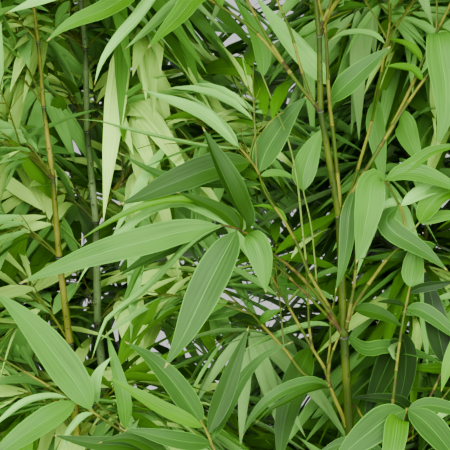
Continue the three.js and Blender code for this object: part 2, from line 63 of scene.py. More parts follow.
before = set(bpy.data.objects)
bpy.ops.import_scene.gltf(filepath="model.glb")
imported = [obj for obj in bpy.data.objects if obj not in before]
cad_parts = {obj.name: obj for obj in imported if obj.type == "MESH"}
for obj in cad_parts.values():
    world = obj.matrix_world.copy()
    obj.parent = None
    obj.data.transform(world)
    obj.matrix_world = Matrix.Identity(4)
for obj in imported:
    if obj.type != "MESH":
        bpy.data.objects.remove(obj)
CAD_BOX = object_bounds()
_, POT_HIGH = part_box("pot")
SOIL_LOW, SOIL_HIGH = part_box("soil")

MM = 0.001
UP = np.array([0.0, 0.0, 1.0])
SOIL_TOP = SOIL_HIGH.z / MM
# How far a cane starts above the soil, and how near its limb a shoot has to be for it to be moved onto it.
GAP = 0.3
ROOT_STEP = 3.0

# Canes: the same named values as the part's source. A cane leans away at an angle, arches more towards its
# tip, and zigzags in a plane. The front one has measured internodes and bends too, from its first seen node.
INTERNODES = 20
TOP_LONG_INTERNODE = 10
RISE = 3.5
SHORTER_EACH = 0.89
ZIGZAG = 2.2
TAPER_POWER = 0.64
TIP_RADIUS = 0.9
CANES = [
    {"name": "front", "foot": (70, -62), "height": 1424, "radius": 6.4,
     "away": 200, "lean": 1.2, "arch": 6.5, "plane": 0,
     "first": 11, "foot_share": 0.614, "lengths": (94, 86, 74, 51), "bends": (0, 1.5, -5.6, 3.9)},
    {"name": "left", "foot": (-92, 10), "height": 1290, "radius": 6.2,
     "away": 176, "lean": 4.4, "arch": 1, "plane": 60},
    {"name": "back_left", "foot": (-112, 76), "height": 1400, "radius": 6.5,
     "away": 160, "lean": 2.3, "arch": 1, "plane": 20},
    {"name": "back_right", "foot": (52, 84), "height": 1330, "radius": 6.1,
     "away": 48, "lean": 4, "arch": 10, "plane": 140},
    {"name": "right", "foot": (108, 22), "height": 1120, "radius": 5.4,
     "away": 352, "lean": 6, "arch": 13, "plane": 80},
    {"name": "short", "foot": (-38, -92), "height": 800, "radius": 4.6,
     "away": 232, "lean": 5, "arch": 16, "plane": 110},
]
# The aged and waxy tones are partly the canes' own colour and partly painted light: they are made brighter to
# make up for the shade that the canes at the left stand in.
CANE_AGES = {"left": "aged", "short": "aged", "back_left": "waxy"}
FRONT_NODE = {"f": 10, "e": 11, "d": 12, "c": 13, "b": 14, "a": 15}

# The window on the front cane: 450 steps to 315 mm, its eye, and the node it is counted from.
WINDOW_WIDTH = 315
WINDOW_STEPS = 450
EYE_DISTANCE = 1100
LOOK_DOWN = 8
WINDOW_NODE = (344, 337)

# Masses that grow straight from a cane: cane, node, azimuth, and length of the stem.
SIDE_MASSES = [
    ("front", 8, -40, 220), ("front", 9, 215, 200),
    ("left", 6, 215, 230), ("left", 8, 120, 240), ("left", 10, 195, 220),
    ("left", 12, 135, 190), ("left", 15, 205, 140),
    ("back_left", 6, 175, 230), ("back_left", 8, 80, 240), ("back_left", 10, 15, 210),
    ("back_left", 13, 55, 200), ("back_left", 15, 140, 150),
    ("back_right", 6, 110, 230), ("back_right", 8, 20, 240), ("back_right", 10, 150, 220),
    ("back_right", 12, 10, 190), ("back_right", 15, 120, 150),
    ("right", 7, -45, 220), ("right", 9, 30, 230), ("right", 11, -30, 200), ("right", 14, 20, 150),
    ("short", 8, 185, 170), ("short", 10, 280, 170), ("short", 13, 200, 120),
]
# Stems of the masses: how they rise and droop, their radii, the size of their twigs, the places of a line.
SIDE_RISE = 46
SIDE_DROOP = 0.3
SIDE_RADII = (2.1, 0.9)
SIDE_SIZE = 0.6
SIDE_SIZE_LENGTH = 500
SIDE_PLACES = 10
TOP_MASS_LENGTH = 120
TOP_MASS_DROOP = 0.12
TOP_RADII = (TIP_RADIUS, 0.5)
TOP_SIZE = 0.7
BOUGH_SIZE = 0.62
SHORT_PLACES = 7

# Where each run of repeatable numbers starts.
BOUGH_SEED = 101
SIDE_SEED = 201
TOP_SEED = 301
SHOOT_SEED = 401
NEAR_SEED = 31
CHIP_SEED = 77

# Lines: the places for each measured one of a limb and on a leaf's midrib, how much a limb thins towards its
# tip, and how coarsely the limbs and leaves are taken where others keep off them.
LINE_STEPS = 8
LEAF_PLACES = 200
BOUGH_TAPER = 0.75
SHOOT_TAPER = 0.7
LIMB_STRIDE = 4
STEM_STRIDE = 2
LEAF_STEPS = 6
LEAF_KEEP_OFF = 0.3

# Twigs by rule. A pair is a range that is drawn from evenly. Turns and spreads are in degrees, and the twigs
# at the foot of a stem are longer than those at its tip.
FIRST_TWIG = 0.16
LAST_TWIG = 0.97
TWIG_SPREAD = 46
TWIG_OPENING = (0.5, 1.25)
TWIG_TURN = (-20, 20)
TWIG_LENGTH = 84
TWIG_REACH = (0.5, 1.65)
FOOT_TWIG = 1.3
TIP_TWIG = 0.8
TWIG_DROOP = 0.18
TWIG_PLACES = 5
TWIG_RADII = (0.8, 0.5)
TWIG_SIDES = 5
GOLDEN_TURN = 137.5

# Sprigs by rule, along a twig, and the one that goes on from its tip.
FIRST_SPRIG = 0.25
LAST_SPRIG = 0.995
SPRIG_TURN = (-30, 30)
SPRIG_SPREAD = (24, 50)
TIP_SPREAD = (4, 16)
SPRIG_DIP = 0.15
SPRIG_LENGTH = (16, 34)
TIP_LENGTH = (13, 27)
SPRIG_DROOP = 0.1
SPRIG_PLACES = 4
SPRIG_RADII = (0.5, 0.35)
SPRIG_SIDES = 4
STEM_SPRIG = 0.1
BOUGH_SPRIGS = 2

# Leaves by rule: their least number on a sprig and how far the draw goes past the most, before it is rounded,
# where they sit on it from its tip back, and how each lies.
LEAST_LEAVES = 2.6
LEAF_CHANCE = 0.4
TIP_LEAF = 0.99
LEAF_STEP = 0.2
FOOT_LEAF = 0.1
FACE_TILT = 0.35
TIP_FAN = (2, 10)
FAN = (25, 52)
LEAF_DIP = (-0.05, 0.62)
LEAF_REACH = (0.5, 1.3)
LEAF_SHORTER = 0.05
LEAF_BREADTH = (0.85, 1.15)
LEAF_DROOP = (0.06, 0.4)
LEAF_TWIST = (-0.5, 0.5)
LEAF_FOLD = (0.12, 0.4)
LEAF_WAVE = 0.03
FOOT_TWIST = 0.3
LEAF_RUNS = (0.2, 0.4, 0.6, 0.8, 1.0)
LEAF_ROOM = 0.4

# Leafy shoots at a cane's upper nodes: how many stand on either side of the middle one, and how each grows.
FIRST_SHOOT_NODE = 7
SHOOT_HANDS = 1
WINDOW_HANDS = 3
WINDOW_REACH = 30
SHOOT_FAN = (25, 55)
SHOOT_TURN = (-14, 14)
SHOOT_RISE = (35, 60)
SHOOT_LENGTH = (60, 120)
FOOT_SHOOT = 1.3
SHOOT_SHORTER = 0.035
SHOOT_DROOP = 0.35
SHOOT_PLACES = 6
SHOOT_SPRIG = 0.2

# Room: how low leaves hang, how far a mass mixes with the next, and how far all keep off the box, the limbs,
# the line of sight to the front cane, and the two canes behind it at its left.
LOWEST_LEAF = 60
CELL_MIX = 28.0
BOX_MARGIN = 2.0
LIMB_MARGIN = 1.0
SHOOT_ROOM = 0.8
TWIG_ROOM = 1.0
SPRIG_ROOM = 0.6
SIGHT_HALF = 180
SIGHT_BEHIND = 6
SOFT_CANES = ("left", "back_left")
SOFT_CLEAR = 6
SOFT_TOP = -10
SOFT_FOOT = 330

# Joints of a limb: the spacing on a mass's stem and the least on a branch, the shares of it before the first
# and after the last, the steps between rings, the scales that make a foot thicker, and the rings of a joint:
# each has its place, its share of the radius, and whether it is scarred.
STEM_JOINTS = 42
STEM_PLACES = 30
STEM_SIDES = 7
SHORTEST_JOINT = 14
BEFORE_JOINT = 0.9
AFTER_JOINTS = 0.8
PAST_JOINT = 0.01
LEAST_RINGS = 4
RING_STEP = 6
JOINT_CLEAR = 2
SCALE_SWELL = 0.45
SCALE_LENGTH = 4
SCALE_END = 3
JOINT_RINGS = ((-1.2, 1.05, False), (-0.4, 1.22, True), (0.2, 1.3, False), (0.8, 1.18, False),
               (1.7, 1.03, False))

# Meshes: the run that maps to 1, the angle up to which a limb's faces are smooth, the least turn of a ring
# and the lean that counts as upright in radians, the distances that count as none, and the most triangles.
RUN_UNIT = 10
LIMB_ANGLE = 50
SMALL_TURN = 1e-4
NEARLY_UPRIGHT = 0.05
TINY = 1e-6
SAME_PLACE = 1e-5
MOST_TRIANGLES = 200000

# The pot, in metres: its sides, the thickness of its wall and the height of its floor, how far its band
# stands out, and the rounds of its foot, its band, its rim and its floor.
POT_SIDES = 128
WALL = 0.012
POT_FLOOR = 0.016
RIM_LEDGE = 0.008
FOOT_ROUND = 0.003
LEDGE_ROUND = 0.003
RIM_ROUND = 0.006
FLOOR_ROUND = 0.006
ROUND_STEPS = 5

# The soil, in metres, and the bark chips on it, in millimetres.
SOIL_SIDES = 96
SOIL_GAP = 0.0006
SOIL_TAPER = 0.052
SOIL_SINK = 3.4
CHIPS = 420
CHIP_BEVEL = 0.22
CHIP_REACH = 165
CHIP_CLEAR = 16
CHIP_LIFT = 0.8
CHIP_LONG = (5, 15)
CHIP_WIDE = (3, 8)
CHIP_THICK = (1.4, 3.2)
CHIP_TILT = (-0.25, 0.25)
CHIP_WARP = 0.35
CHIP_WAVES = 7
CHIP_WAVE_START = (0, 6)

# The stage, in metres. A lamp has its place from the middle of the window, and its width.
FLOOR_RADIUS = 60
FLOOR_SIDES = 96
LAMPS = {
    "key": ((-0.9, -1.9, 1.3), 1.2),
    "fill": ((0.6, -2.1, 0.2), 1.2),
    "rim": ((0.9, 1.6, 2.5), 1.6),
}
SENSOR_WIDTH = 36
NEAREST_SEEN = 0.05
FARTHEST_SEEN = 200

# Branches of the front cane. Each has the node it leaves, the line of its bough, the line of the stem that
# goes on from the bough, and its finer shoots: a look, a radius, and a line. A place is steps right and down
# from the window's corner, then millimetres in front of its plane.
BRANCHES = {
    "a_right": {
        "look": "straw", "node": "a", "radius": (1.5, 1.1),
        "bough": [(330, 12, 28), (342, -6, 22), (368, -40, 6), (394, -70, -8)],
        "stem": [(425, -108, -7), (452, -142, -6)],
        "shoots": [("straw", 1.2, [(321, 30, 37), (328, 10, 36), (335, -12, 34), (345, -60, 30)])],
    },
    "b_left": {
        "look": "olive", "node": "b", "radius": (1.5, 1.0),
        "bough": [(303, 90, 28), (288, 70, 27), (250, 27, 25), (223, 8, 24)],
        "stem": [(175, -20, 34), (122, -34, 40)],
        "shoots": [
            ("straw", 1.25, [(288, 70, 27), (272, 45, 28), (247, 0, 28), (232, -30, 28), (215, -70, 28)]),
            ("olive", 1.1, [(314, 98, 28), (300, 65, 26), (290, 30, 22), (277, 0, 18), (262, -40, 12)]),
        ],
    },
    "c_up": {
        "look": "straw", "node": "c", "radius": (1.7, 1.3),
        "bough": [(339, 190, 17), (337, 173, 16), (334, 140, 14), (330, 108, 12)],
        "stem": [(328, 80, 12), (325, 30, 13), (316, -10, 16)],
        "shoots": [],
    },
    "c_inner": {
        "look": "olive", "node": "c", "radius": (1.3, 0.9),
        "bough": [(352, 188, 10), (361, 158, 1), (372, 120, -11), (383, 62, -28)],
        "stem": [(390, 20, -31), (393, -30, -34)],
        "shoots": [],
    },
    "c_right": {
        "look": "straw", "node": "c", "radius": (1.6, 1.2),
        "bough": [(357, 185, 14), (380, 147, 11), (405, 100, 8), (428, 50, 4)],
        "stem": [(445, 15, 6), (462, -20, 8)],
        "shoots": [
            ("straw", 1.2, [(380, 147, 13), (398, 118, 13), (415, 92, 14), (430, 72, 15), (448, 45, 16),
                (470, 10, 18)]),
        ],
    },
    "d_upper": {
        "look": "olive", "node": "d", "radius": (1.5, 1.0),
        "bough": [(325, 300, -4), (312, 279, -6), (295, 240, -10), (285, 222, -12), (264, 190, -14)],
        "stem": [(258, 172, -10), (248, 157, -6), (239, 147, -4)],
        "shoots": [
            ("pale", 0.8, [(308, 268, -7), (302, 225, -9), (297, 180, -12), (288, 140, -20),
                (272, 100, -28), (262, 75, -30)]),
            ("pale", 0.7, [(318, 287, -5), (315, 262, -8), (311, 225, -12), (303, 190, -18)]),
        ],
    },
    "d_lower": {
        "look": "brown", "node": "d", "radius": (1.5, 1.1),
        "bough": [(325, 306, 8), (300, 276, 16), (284, 262, 20), (266, 249, 24)],
        "stem": [(250, 235, 27), (238, 229, 29), (221, 225, 30)],
        "shoots": [
            ("brown", 1.15, [(340, 333, 3), (318, 306, 9), (300, 288, 12), (272, 262, 14), (250, 246, 12)]),
        ],
    },
    "d_right": {
        "look": "straw", "node": "d", "radius": (1.4, 1.0),
        "bough": [(352, 311, 6), (358, 300, 8), (375, 275, 12), (387, 259, 15), (404, 240, 18)],
        "stem": [(403, 215, 22), (394, 195, 27), (384, 180, 30)],
        "shoots": [
            ("pale", 0.9, [(404, 240, 18), (411, 232, 19), (419, 223, 20)]),
            ("olive", 1.3, [(346, 330, 5), (351, 303, 7), (354, 285, 7), (356, 258, 6), (357, 236, 6)]),
        ],
    },
    "e_left": {
        "look": "olive", "node": "e", "radius": (1.7, 1.2),
        "bough": [(348, 432, -11), (340, 410, -9), (333, 395, -8), (328, 384, -8)],
        "stem": [(309, 378, -10), (285, 350, -14), (262, 325, -18), (245, 308, -21), (228, 301, -23)],
        "shoots": [
            ("olive", 1.2, [(330, 388, -8), (326, 372, -9), (312, 348, -12), (295, 318, -15),
                (287, 304, -16), (268, 270, -20), (257, 250, -24)]),
            ("straw", 1.0, [(312, 348, -12), (309, 325, -11), (308, 300, -11), (306, 262, -12)]),
            ("olive", 0.9, [(329, 380, -8), (328, 362, -8), (330, 345, -8), (331, 318, -9),
                (337, 288, -11)]),
            ("straw", 1.1, [(331, 376, -6), (330, 360, -5), (338, 338, -2)]),
            ("olive", 1.0, [(353, 404, -10), (361, 415, -14), (373, 431, -20), (388, 452, -28)]),
        ],
    },
    "f_left": {
        "look": "straw", "node": "f", "radius": (1.7, 1.2),
        "bough": [(332, 560, -14), (290, 510, 4), (250, 474, 22), (214, 450, 34)],
        "stem": [(208, 434, 32), (200, 420, 30)],
        "shoots": [
            ("straw", 1.1, [(250, 474, 22), (205, 480, 30), (172, 468, 33), (145, 449, 34),
                (120, 430, 33), (97, 415, 33), (78, 402, 32), (62, 394, 32), (30, 375, 30), (0, 358, 28),
                (-24, 346, 28)]),
            ("brown", 0.8, [(190, 478, 30), (150, 455, 30), (125, 430, 31), (97, 403, 30)]),
        ],
    },
    "f_right": {
        "look": "straw", "node": "f", "radius": (1.6, 1.1),
        "bough": [(372, 560, -12), (384, 510, 10), (393, 470, 30), (398, 440, 42)],
        "stem": [(402, 424, 46), (407, 408, 50)],
        "shoots": [
            ("olive", 1.2, [(395, 455, 38), (391, 425, 26), (394, 392, 18), (400, 340, 10), (407, 300, 6),
                (410, 287, 6)]),
            ("brown", 1.0, [(396, 450, 40), (412, 428, 28), (428, 401, 18), (446, 364, 12), (468, 322, 8)]),
            ("straw", 0.9, [(396, 448, 41), (418, 432, 30), (440, 402, 18), (452, 386, 14),
                (470, 360, 10)]),
        ],
    },
}

# Measured leaves, by the branch that carries them: a kind, the width in steps of the window, how far the
# blade is turned about its midrib, how far its halves are folded up, and its line from foot to tip.
# A measured leaf's kind matches its tone as seen, so it paints the light and shade on each leaf along with
# its own green: the dark ones are painted shade, and the fresh and lime ones have painted light shining
# through them.
NEAR_LEAVES = {
    "a_right": [
        ("fresh", 24, 10, 12, (450, -140, -6), (500, -150, 2), (560, -150, 10)),
        ("mid", 22, 0, 12, (425, -108, -7), (415, -160, 0), (400, -210, 6)),
    ],
    "b_left": [
        ("lime", 22, 0, 10, (150, -28, 38), (132, -8, 40), (104, 10, 42), (76, 21, 44), (60, 30, 45),
            (46, 42, 46)),
        ("pale", 19, 30, 30, (176, -20, 34), (160, -6, 36), (140, 21, 38), (118, 44, 40), (104, 62, 42),
            (94, 86, 44)),
        ("lime", 24, 0, 8, (223, 8, 24), (214, -12, 30), (196, -4, 34), (180, 15, 38), (162, 33, 42),
            (147, 49, 46)),
        ("pale", 14, 0, 15, (196, -10, 28), (178, 2, 20), (150, 28, 14), (124, 50, 10)),
        ("pale", 20, 0, 12, (130, -33, 40), (90, -22, 44), (50, -4, 48), (4, 14, 52)),
    ],
    "c_up": [
        ("pale", 25, 0, 6, (328, 86, 12), (314, 68, -8), (292, 42, -20), (272, 18, -26), (254, -6, -28)),
        ("rich", 24, -12, 8, (331, 102, 12), (341, 90, 18), (357, 75, 22), (374, 60, 24), (391, 46, 26)),
        ("mid", 22, 0, 10, (317, -8, 16), (300, -40, 14), (270, -80, 10), (256, -96, 10)),
        ("fresh", 20, 0, 10, (319, -2, 16), (345, -40, 20), (372, -84, 24)),
    ],
    "c_inner": [
        ("pale", 13, 40, 20, (386, 44, -28), (372, 36, -28), (350, 34, -27), (337, 37, -26),
            (326, 43, -25)),
        ("mid", 20, 0, 10, (390, 10, -31), (410, -50, -28), (430, -128, -20)),
        ("mid", 19, 10, 8, (377, 98, -20), (375, 120, -24), (379, 150, -26), (384, 186, -26)),
    ],
    "c_right": [
        ("mid", 31, 0, 10, (436, 34, 4), (438, 34, 14), (442, 60, 22), (446, 92, 25), (445, 116, 25),
            (437, 148, 24)),
        ("lime", 11, 20, 20, (422, 80, 14), (412, 70, 16), (400, 67, 18), (385, 66, 20)),
        ("fresh", 12, 20, 20, (424, 62, 5), (410, 47, 0), (398, 42, -8), (386, 38, -20)),
        ("rich", 16, 10, 14, (356, 188, 14), (349, 215, 22), (347, 240, 24), (343, 266, 24),
            (335, 293, 22)),
        ("mid", 23, 10, 12, (400, 112, 9), (403, 122, 0), (408, 137, -6), (414, 150, -8), (422, 168, -10)),
        ("mid", 24, 0, 12, (452, 0, 7), (500, 8, 14), (560, 22, 22)),
        ("fresh", 14, 0, 14, (462, -18, 8), (492, -52, 12), (520, -74, 16)),
    ],
    "d_upper": [
        ("pale", 19, 20, 12, (240, 148, -4), (226, 133, 0), (205, 116, 4), (180, 104, 7), (158, 96, 8),
            (141, 89, 8)),
        ("mid", 9, 60, 20, (240, 148, -4), (226, 129, -3), (205, 108, -4), (183, 92, -6)),
        ("pale", 12, 42, 16, (240, 150, -4), (205, 147, -6), (175, 141, -8), (125, 129, -9),
            (98, 121, -10), (74, 119, -10)),
        ("rich", 28, 0, 8, (259, 174, -10), (264, 156, -16), (277, 133, -22), (292, 112, -25),
            (308, 95, -26)),
        ("deep", 30, -8, 14, (252, 163, -7), (235, 164, -2), (212, 168, 2), (185, 178, 4), (158, 189, 3),
            (138, 198, 2), (118, 205, 2)),
        ("rich", 15, 10, 12, (262, 184, -14), (235, 184, -17), (200, 182, -19), (160, 175, -19),
            (140, 165, -18), (118, 152, -18)),
        ("deep", 17, 10, 12, (259, 178, -11), (240, 172, -8), (218, 166, -4), (194, 162, -3)),
        ("mid", 7, 20, 20, (260, 176, -11), (272, 173, -14), (284, 174, -17), (298, 180, -20)),
        ("lime", 8, 20, 20, (287, 224, -12), (278, 212, -16), (266, 207, -18), (249, 206, -18)),
        ("mid", 25, 8, 14, (303, 192, -18), (303, 178, -20), (307, 162, -22), (314, 145, -24),
            (325, 126, -26)),
        ("mid", 18, 0, 12, (264, 78, -30), (262, 50, -34), (250, 22, -38), (232, -4, -40)),
    ],
    "d_lower": [
        ("mid", 28, -14, 12, (222, 226, 30), (200, 229, 32), (176, 233, 33), (150, 240, 34),
            (118, 248, 35), (85, 258, 35), (50, 271, 34), (18, 284, 34)),
        ("rich", 36, 8, 8, (237, 231, 29), (230, 243, 34), (213, 275, 40), (198, 306, 44), (184, 335, 46),
            (173, 354, 46), (164, 369, 46)),
        ("deep", 25, 34, 30, (245, 232, 28), (244, 219, 38), (236, 204, 46), (228, 186, 51),
            (217, 162, 54), (209, 143, 56), (202, 126, 56)),
        ("mid", 25, 10, 12, (247, 233, 28), (254, 240, 34), (260, 253, 38), (264, 272, 41), (266, 293, 42)),
        ("pale", 13, 48, 26, (224, 226, 30), (206, 234, 34), (190, 246, 32), (175, 262, 26),
            (160, 278, 20), (144, 293, 15), (125, 307, 11), (108, 320, 9), (101, 335, 8), (91, 362, 8)),
        ("rich", 17, 0, 12, (222, 227, 29), (195, 238, 22), (165, 251, 16), (140, 263, 14), (116, 278, 12)),
        ("deep", 16, 12, 12, (240, 230, 29), (225, 214, 22), (205, 203, 18), (190, 197, 16),
            (176, 192, 16)),
        ("fresh", 11, 30, 20, (232, 228, 29), (206, 206, 12), (178, 200, 6), (140, 208, 4), (106, 224, 4),
            (78, 241, 4)),
        ("pale", 12, 20, 20, (230, 228, 29), (205, 213, 10), (184, 204, 0), (150, 212, -2),
            (124, 231, -2), (100, 252, -2), (85, 271, -2), (75, 289, -2)),
        ("mid", 13, 20, 20, (223, 227, 29), (185, 233, 6), (154, 245, -4), (138, 272, -6), (126, 300, -6),
            (113, 328, -6)),
    ],
    "d_right": [
        ("mid", 29, 0, 8, (385, 180, 30), (379, 176, 33), (373, 181, 37), (369, 205, 42), (365, 225, 44),
            (361, 244, 46), (356, 264, 46)),
        ("mid", 20, 0, 12, (384, 181, 30), (401, 173, 34), (421, 174, 38), (441, 181, 42), (470, 195, 44)),
        ("lime", 11, 20, 20, (384, 180, 30), (397, 172, 32), (412, 164, 34), (430, 152, 35),
            (450, 147, 36), (474, 146, 36)),
        ("rich", 21, 10, 12, (398, 205, 25), (386, 222, 30), (395, 233, 32), (411, 243, 32),
            (429, 255, 31), (448, 271, 30)),
        ("pale", 16, 0, 14, (399, 207, 24), (419, 194, 24), (442, 187, 22), (482, 186, 20)),
        ("pale", 14, 0, 14, (399, 208, 24), (394, 204, 22), (388, 208, 22), (380, 216, 22)),
        ("lime", 20, 10, 16, (419, 223, 20), (427, 208, 24), (438, 197, 26), (452, 191, 28),
            (476, 186, 30)),
        ("lime", 10, 30, 16, (419, 223, 20), (432, 218, 20), (448, 215, 20), (470, 216, 20)),
        ("rich", 15, 30, 14, (403, 243, 17), (430, 252, 4), (404, 257, 0), (380, 258, -2), (357, 259, -4)),
        ("deep", 16, 0, 14, (353, 309, 6), (368, 311, 2), (385, 316, 0), (403, 327, -2)),
        ("rich", 17, 0, 12, (349, 336, 1), (367, 350, -8), (385, 347, -12), (405, 350, -14),
            (424, 356, -16), (446, 365, -18)),
    ],
    "e_left": [
        ("rich", 13, 20, 18, (330, 386, -8), (316, 382, -2), (298, 385, 0), (279, 393, 2), (261, 407, 2),
            (250, 421, 2), (241, 439, 2)),
        ("deep", 10, 30, 20, (331, 389, -7), (318, 388, 6), (300, 394, 10), (284, 403, 12),
            (270, 410, 12), (255, 424, 12)),
        ("mid", 11, 0, 14, (258, 323, -18), (265, 318, -14), (273, 313, -12), (282, 309, -12)),
        ("pale", 12, 20, 14, (331, 326, -8), (314, 325, -24), (292, 330, -30), (266, 340, -34),
            (238, 353, -36)),
        ("deep", 28, 0, 8, (311, 346, -13), (304, 362, -24), (294, 388, -28), (286, 415, -30),
            (278, 470, -30)),
        ("rich", 14, 0, 14, (245, 308, -21), (226, 312, -26), (200, 316, -30), (170, 318, -34)),
        ("mid", 14, 0, 14, (229, 301, -23), (214, 306, -22), (196, 318, -22), (176, 336, -22)),
    ],
    "f_left": [
        ("mid", 33, 0, 8, (92, 412, 33), (84, 396, 36), (62, 364, 34), (40, 335, 32), (18, 312, 31),
            (-8, 290, 30)),
        ("pale", 11, 30, 18, (70, 398, 32), (50, 397, 36), (25, 403, 38), (5, 417, 38), (-14, 434, 38)),
        ("mid", 27, 0, 10, (76, 401, 32), (56, 414, 42), (30, 431, 48), (6, 448, 52), (-18, 468, 52)),
        ("pale", 14, 30, 20, (93, 413, 33), (84, 418, 38), (74, 428, 42), (67, 438, 44), (67, 450, 44)),
        ("fresh", 15, 0, 12, (204, 428, 31), (185, 419, 38), (160, 407, 42), (134, 392, 45),
            (106, 376, 46)),
        ("rich", 18, 0, 12, (211, 444, 33), (188, 442, 46), (162, 437, 54), (141, 432, 57), (122, 430, 58)),
        ("deep", 19, 14, 14, (208, 434, 32), (216, 414, 30), (226, 388, 28), (237, 358, 26),
            (249, 326, 24)),
        ("rich", 25, 0, 10, (203, 426, 30), (186, 400, 18), (166, 374, 10), (146, 355, 7), (124, 341, 6)),
        ("rich", 13, 10, 14, (211, 442, 33), (228, 405, 12), (245, 375, 2), (265, 355, -4), (294, 341, -8)),
        ("deep", 16, 0, 14, (150, 452, 34), (125, 446, 44), (92, 443, 50), (52, 435, 52)),
        ("deep", 17, 0, 12, (172, 468, 33), (150, 446, 44), (128, 438, 48), (98, 443, 50)),
        ("mid", 15, 0, 14, (125, 431, 31), (124, 400, 8), (118, 375, 2), (112, 352, 0), (106, 330, -2)),
        ("pale", 13, 0, 14, (97, 404, 30), (94, 392, 18), (98, 374, 10), (112, 356, 6)),
    ],
    "f_right": [
        ("rich", 30, 0, 8, (406, 410, 50), (388, 418, 56), (368, 433, 61), (350, 448, 64), (330, 468, 66)),
        ("lime", 23, 0, 8, (403, 420, 47), (398, 420, 60), (395, 440, 70), (390, 466, 76), (383, 498, 78)),
        ("rich", 29, 0, 8, (407, 409, 50), (424, 421, 56), (440, 438, 60), (455, 458, 62), (470, 486, 62)),
        ("rich", 15, 0, 14, (406, 410, 50), (426, 405, 48), (450, 409, 46), (486, 424, 44)),
        ("mid", 22, 0, 14, (410, 288, 6), (412, 276, 6), (414, 260, 8), (418, 236, 8)),
        ("dark", 8, 40, 18, (410, 293, 6), (420, 288, 10), (436, 285, 12), (458, 281, 14)),
        ("rich", 16, 10, 14, (406, 308, 7), (418, 309, 12), (433, 317, 16), (449, 330, 18), (466, 346, 18)),
        ("dark", 9, 20, 14, (405, 306, 7), (396, 303, 8), (387, 302, 8), (376, 302, 8)),
        ("dark", 25, 0, 8, (446, 366, 12), (438, 330, 0), (432, 300, -8), (424, 268, -14)),
        ("fresh", 17, 0, 12, (468, 324, 8), (458, 345, 18), (449, 364, 20), (441, 392, 20)),
        ("dark", 16, 0, 14, (412, 428, 28), (398, 402, -10), (376, 398, -24), (346, 398, -34)),
        ("rich", 16, 0, 12, (391, 474, 30), (368, 448, 30), (345, 443, 30), (312, 458, 30)),
        ("dark", 25, 0, 10, (400, 340, 10), (393, 352, -14), (383, 374, -28), (373, 398, -36),
            (364, 426, -40)),
        ("dark", 22, 10, 10, (401, 332, 9), (406, 354, -12), (404, 382, -26), (397, 408, -34),
            (388, 432, -38)),
    ],
}

# The outline of a leaf: how wide it is, as a share of its widest, at shares of its length. Then where its
# dried tip starts, how far out its midrib reaches, and where its margin starts.
OUTLINE = ((0, 0.07), (0.025, 0.08), (0.05, 0.3), (0.1, 0.6), (0.18, 0.87), (0.3, 1), (0.42, 0.98),
           (0.55, 0.87), (0.7, 0.64), (0.82, 0.4), (0.92, 0.17), (0.97, 0.07), (1, 0))
TIP_SHARE = 0.955
MIDRIB_SHARE = 0.1
MARGIN_SHARE = 0.9

# For each kind of leaf: its upper skin, its lower skin, and its midrib and margin.
# Some kinds have light or shade painted into their upper skin: the sky's sheen on the pale one, light shining
# through the fresh, lime and glow ones, and shade on the dark one.
LEAF_KINDS = {
    "pale": ("pale", "pale", "vein_pale"),
    "fresh": ("fresh", "fresh", "vein_mid"),
    "mid": ("mid", "under", "vein_mid"),
    "rich": ("rich", "under", "vein_mid"),
    "deep": ("deep", "under", "vein_deep"),
    "dark": ("dark", "under", "vein_deep"),
    "lime": ("lime", "fresh", "vein_mid"),
    "glow": ("glow", "pale", "vein_pale"),
}
LEAF_VEINS = ("vein_pale", "vein_mid", "vein_deep")
LEAF_SLOTS = (*LEAF_KINDS, "under", *LEAF_VEINS, "tip")
# How often each kind comes among the leaves by rule.
KIND_SHARES = {"pale": 0.12, "fresh": 0.12, "mid": 0.28, "rich": 0.22, "deep": 0.14, "dark": 0.04,
               "lime": 0.08}
# The same for the sprays that the window shows behind the front cane: far left, left, right, and low down.
# These shares paint light and shade by place: the sprays at the far left and left, where the sun falls, take
# mostly glowing, pale and fresh leaves as painted light, those at the right fewer, and those low down more
# deep and dark ones as painted shade.
SUNNY_SHARES = {"glow": 0.66, "pale": 0.2, "lime": 0.14}
LEFT_SHARES = {"glow": 0.46, "pale": 0.26, "fresh": 0.14, "lime": 0.14}
RIGHT_SHARES = {"glow": 0.22, "pale": 0.26, "fresh": 0.12, "lime": 0.16, "mid": 0.16, "rich": 0.06,
                "deep": 0.02}
LOW_SHADED_SHARES = {"pale": 0.06, "fresh": 0.12, "mid": 0.22, "rich": 0.28, "deep": 0.22, "dark": 0.1}
SUNNY_END = 160
LEFT_END = 315
LOW_TOP = 310
LEFT_DEPTH = 1300
WINDOW_EDGE = 20

# The finishes of a branch, and those that its joints take in turn.
BRANCH_SLOTS = {"straw": 0, "olive": 1, "brown": 2, "young": 3, "joint": 4, "twig": 5}
BRANCH_LOOKS = {"straw": ("straw", "olive"), "olive": ("olive", "straw"), "brown": ("brown", "olive"),
                "pale": ("young", "young")}


def linear(code):
    """An sRGB hex colour as the linear colour that a shader takes."""
    parts = [int(code[i : i + 2], 16) / 255 for i in (0, 2, 4)]
    return tuple(p / 12.92 if p <= 0.04045 else ((p + 0.055) / 1.055) ** 2.4 for p in parts)


def size(name, default, about):
    return FloatProperty(name=name, default=default, min=0, unit="LENGTH", subtype="DISTANCE",
                         description=about)


def colour(name, code, about):
    return FloatVectorProperty(name=name, default=linear(code), size=3, min=0, max=1, subtype="COLOR",
                               description=about)


def number(name, default, low, high, about):
    return IntProperty(name=name, default=default, min=low, max=high, description=about)


def power(name, default, about):
    return FloatProperty(name=name, default=default, min=0, description=about)


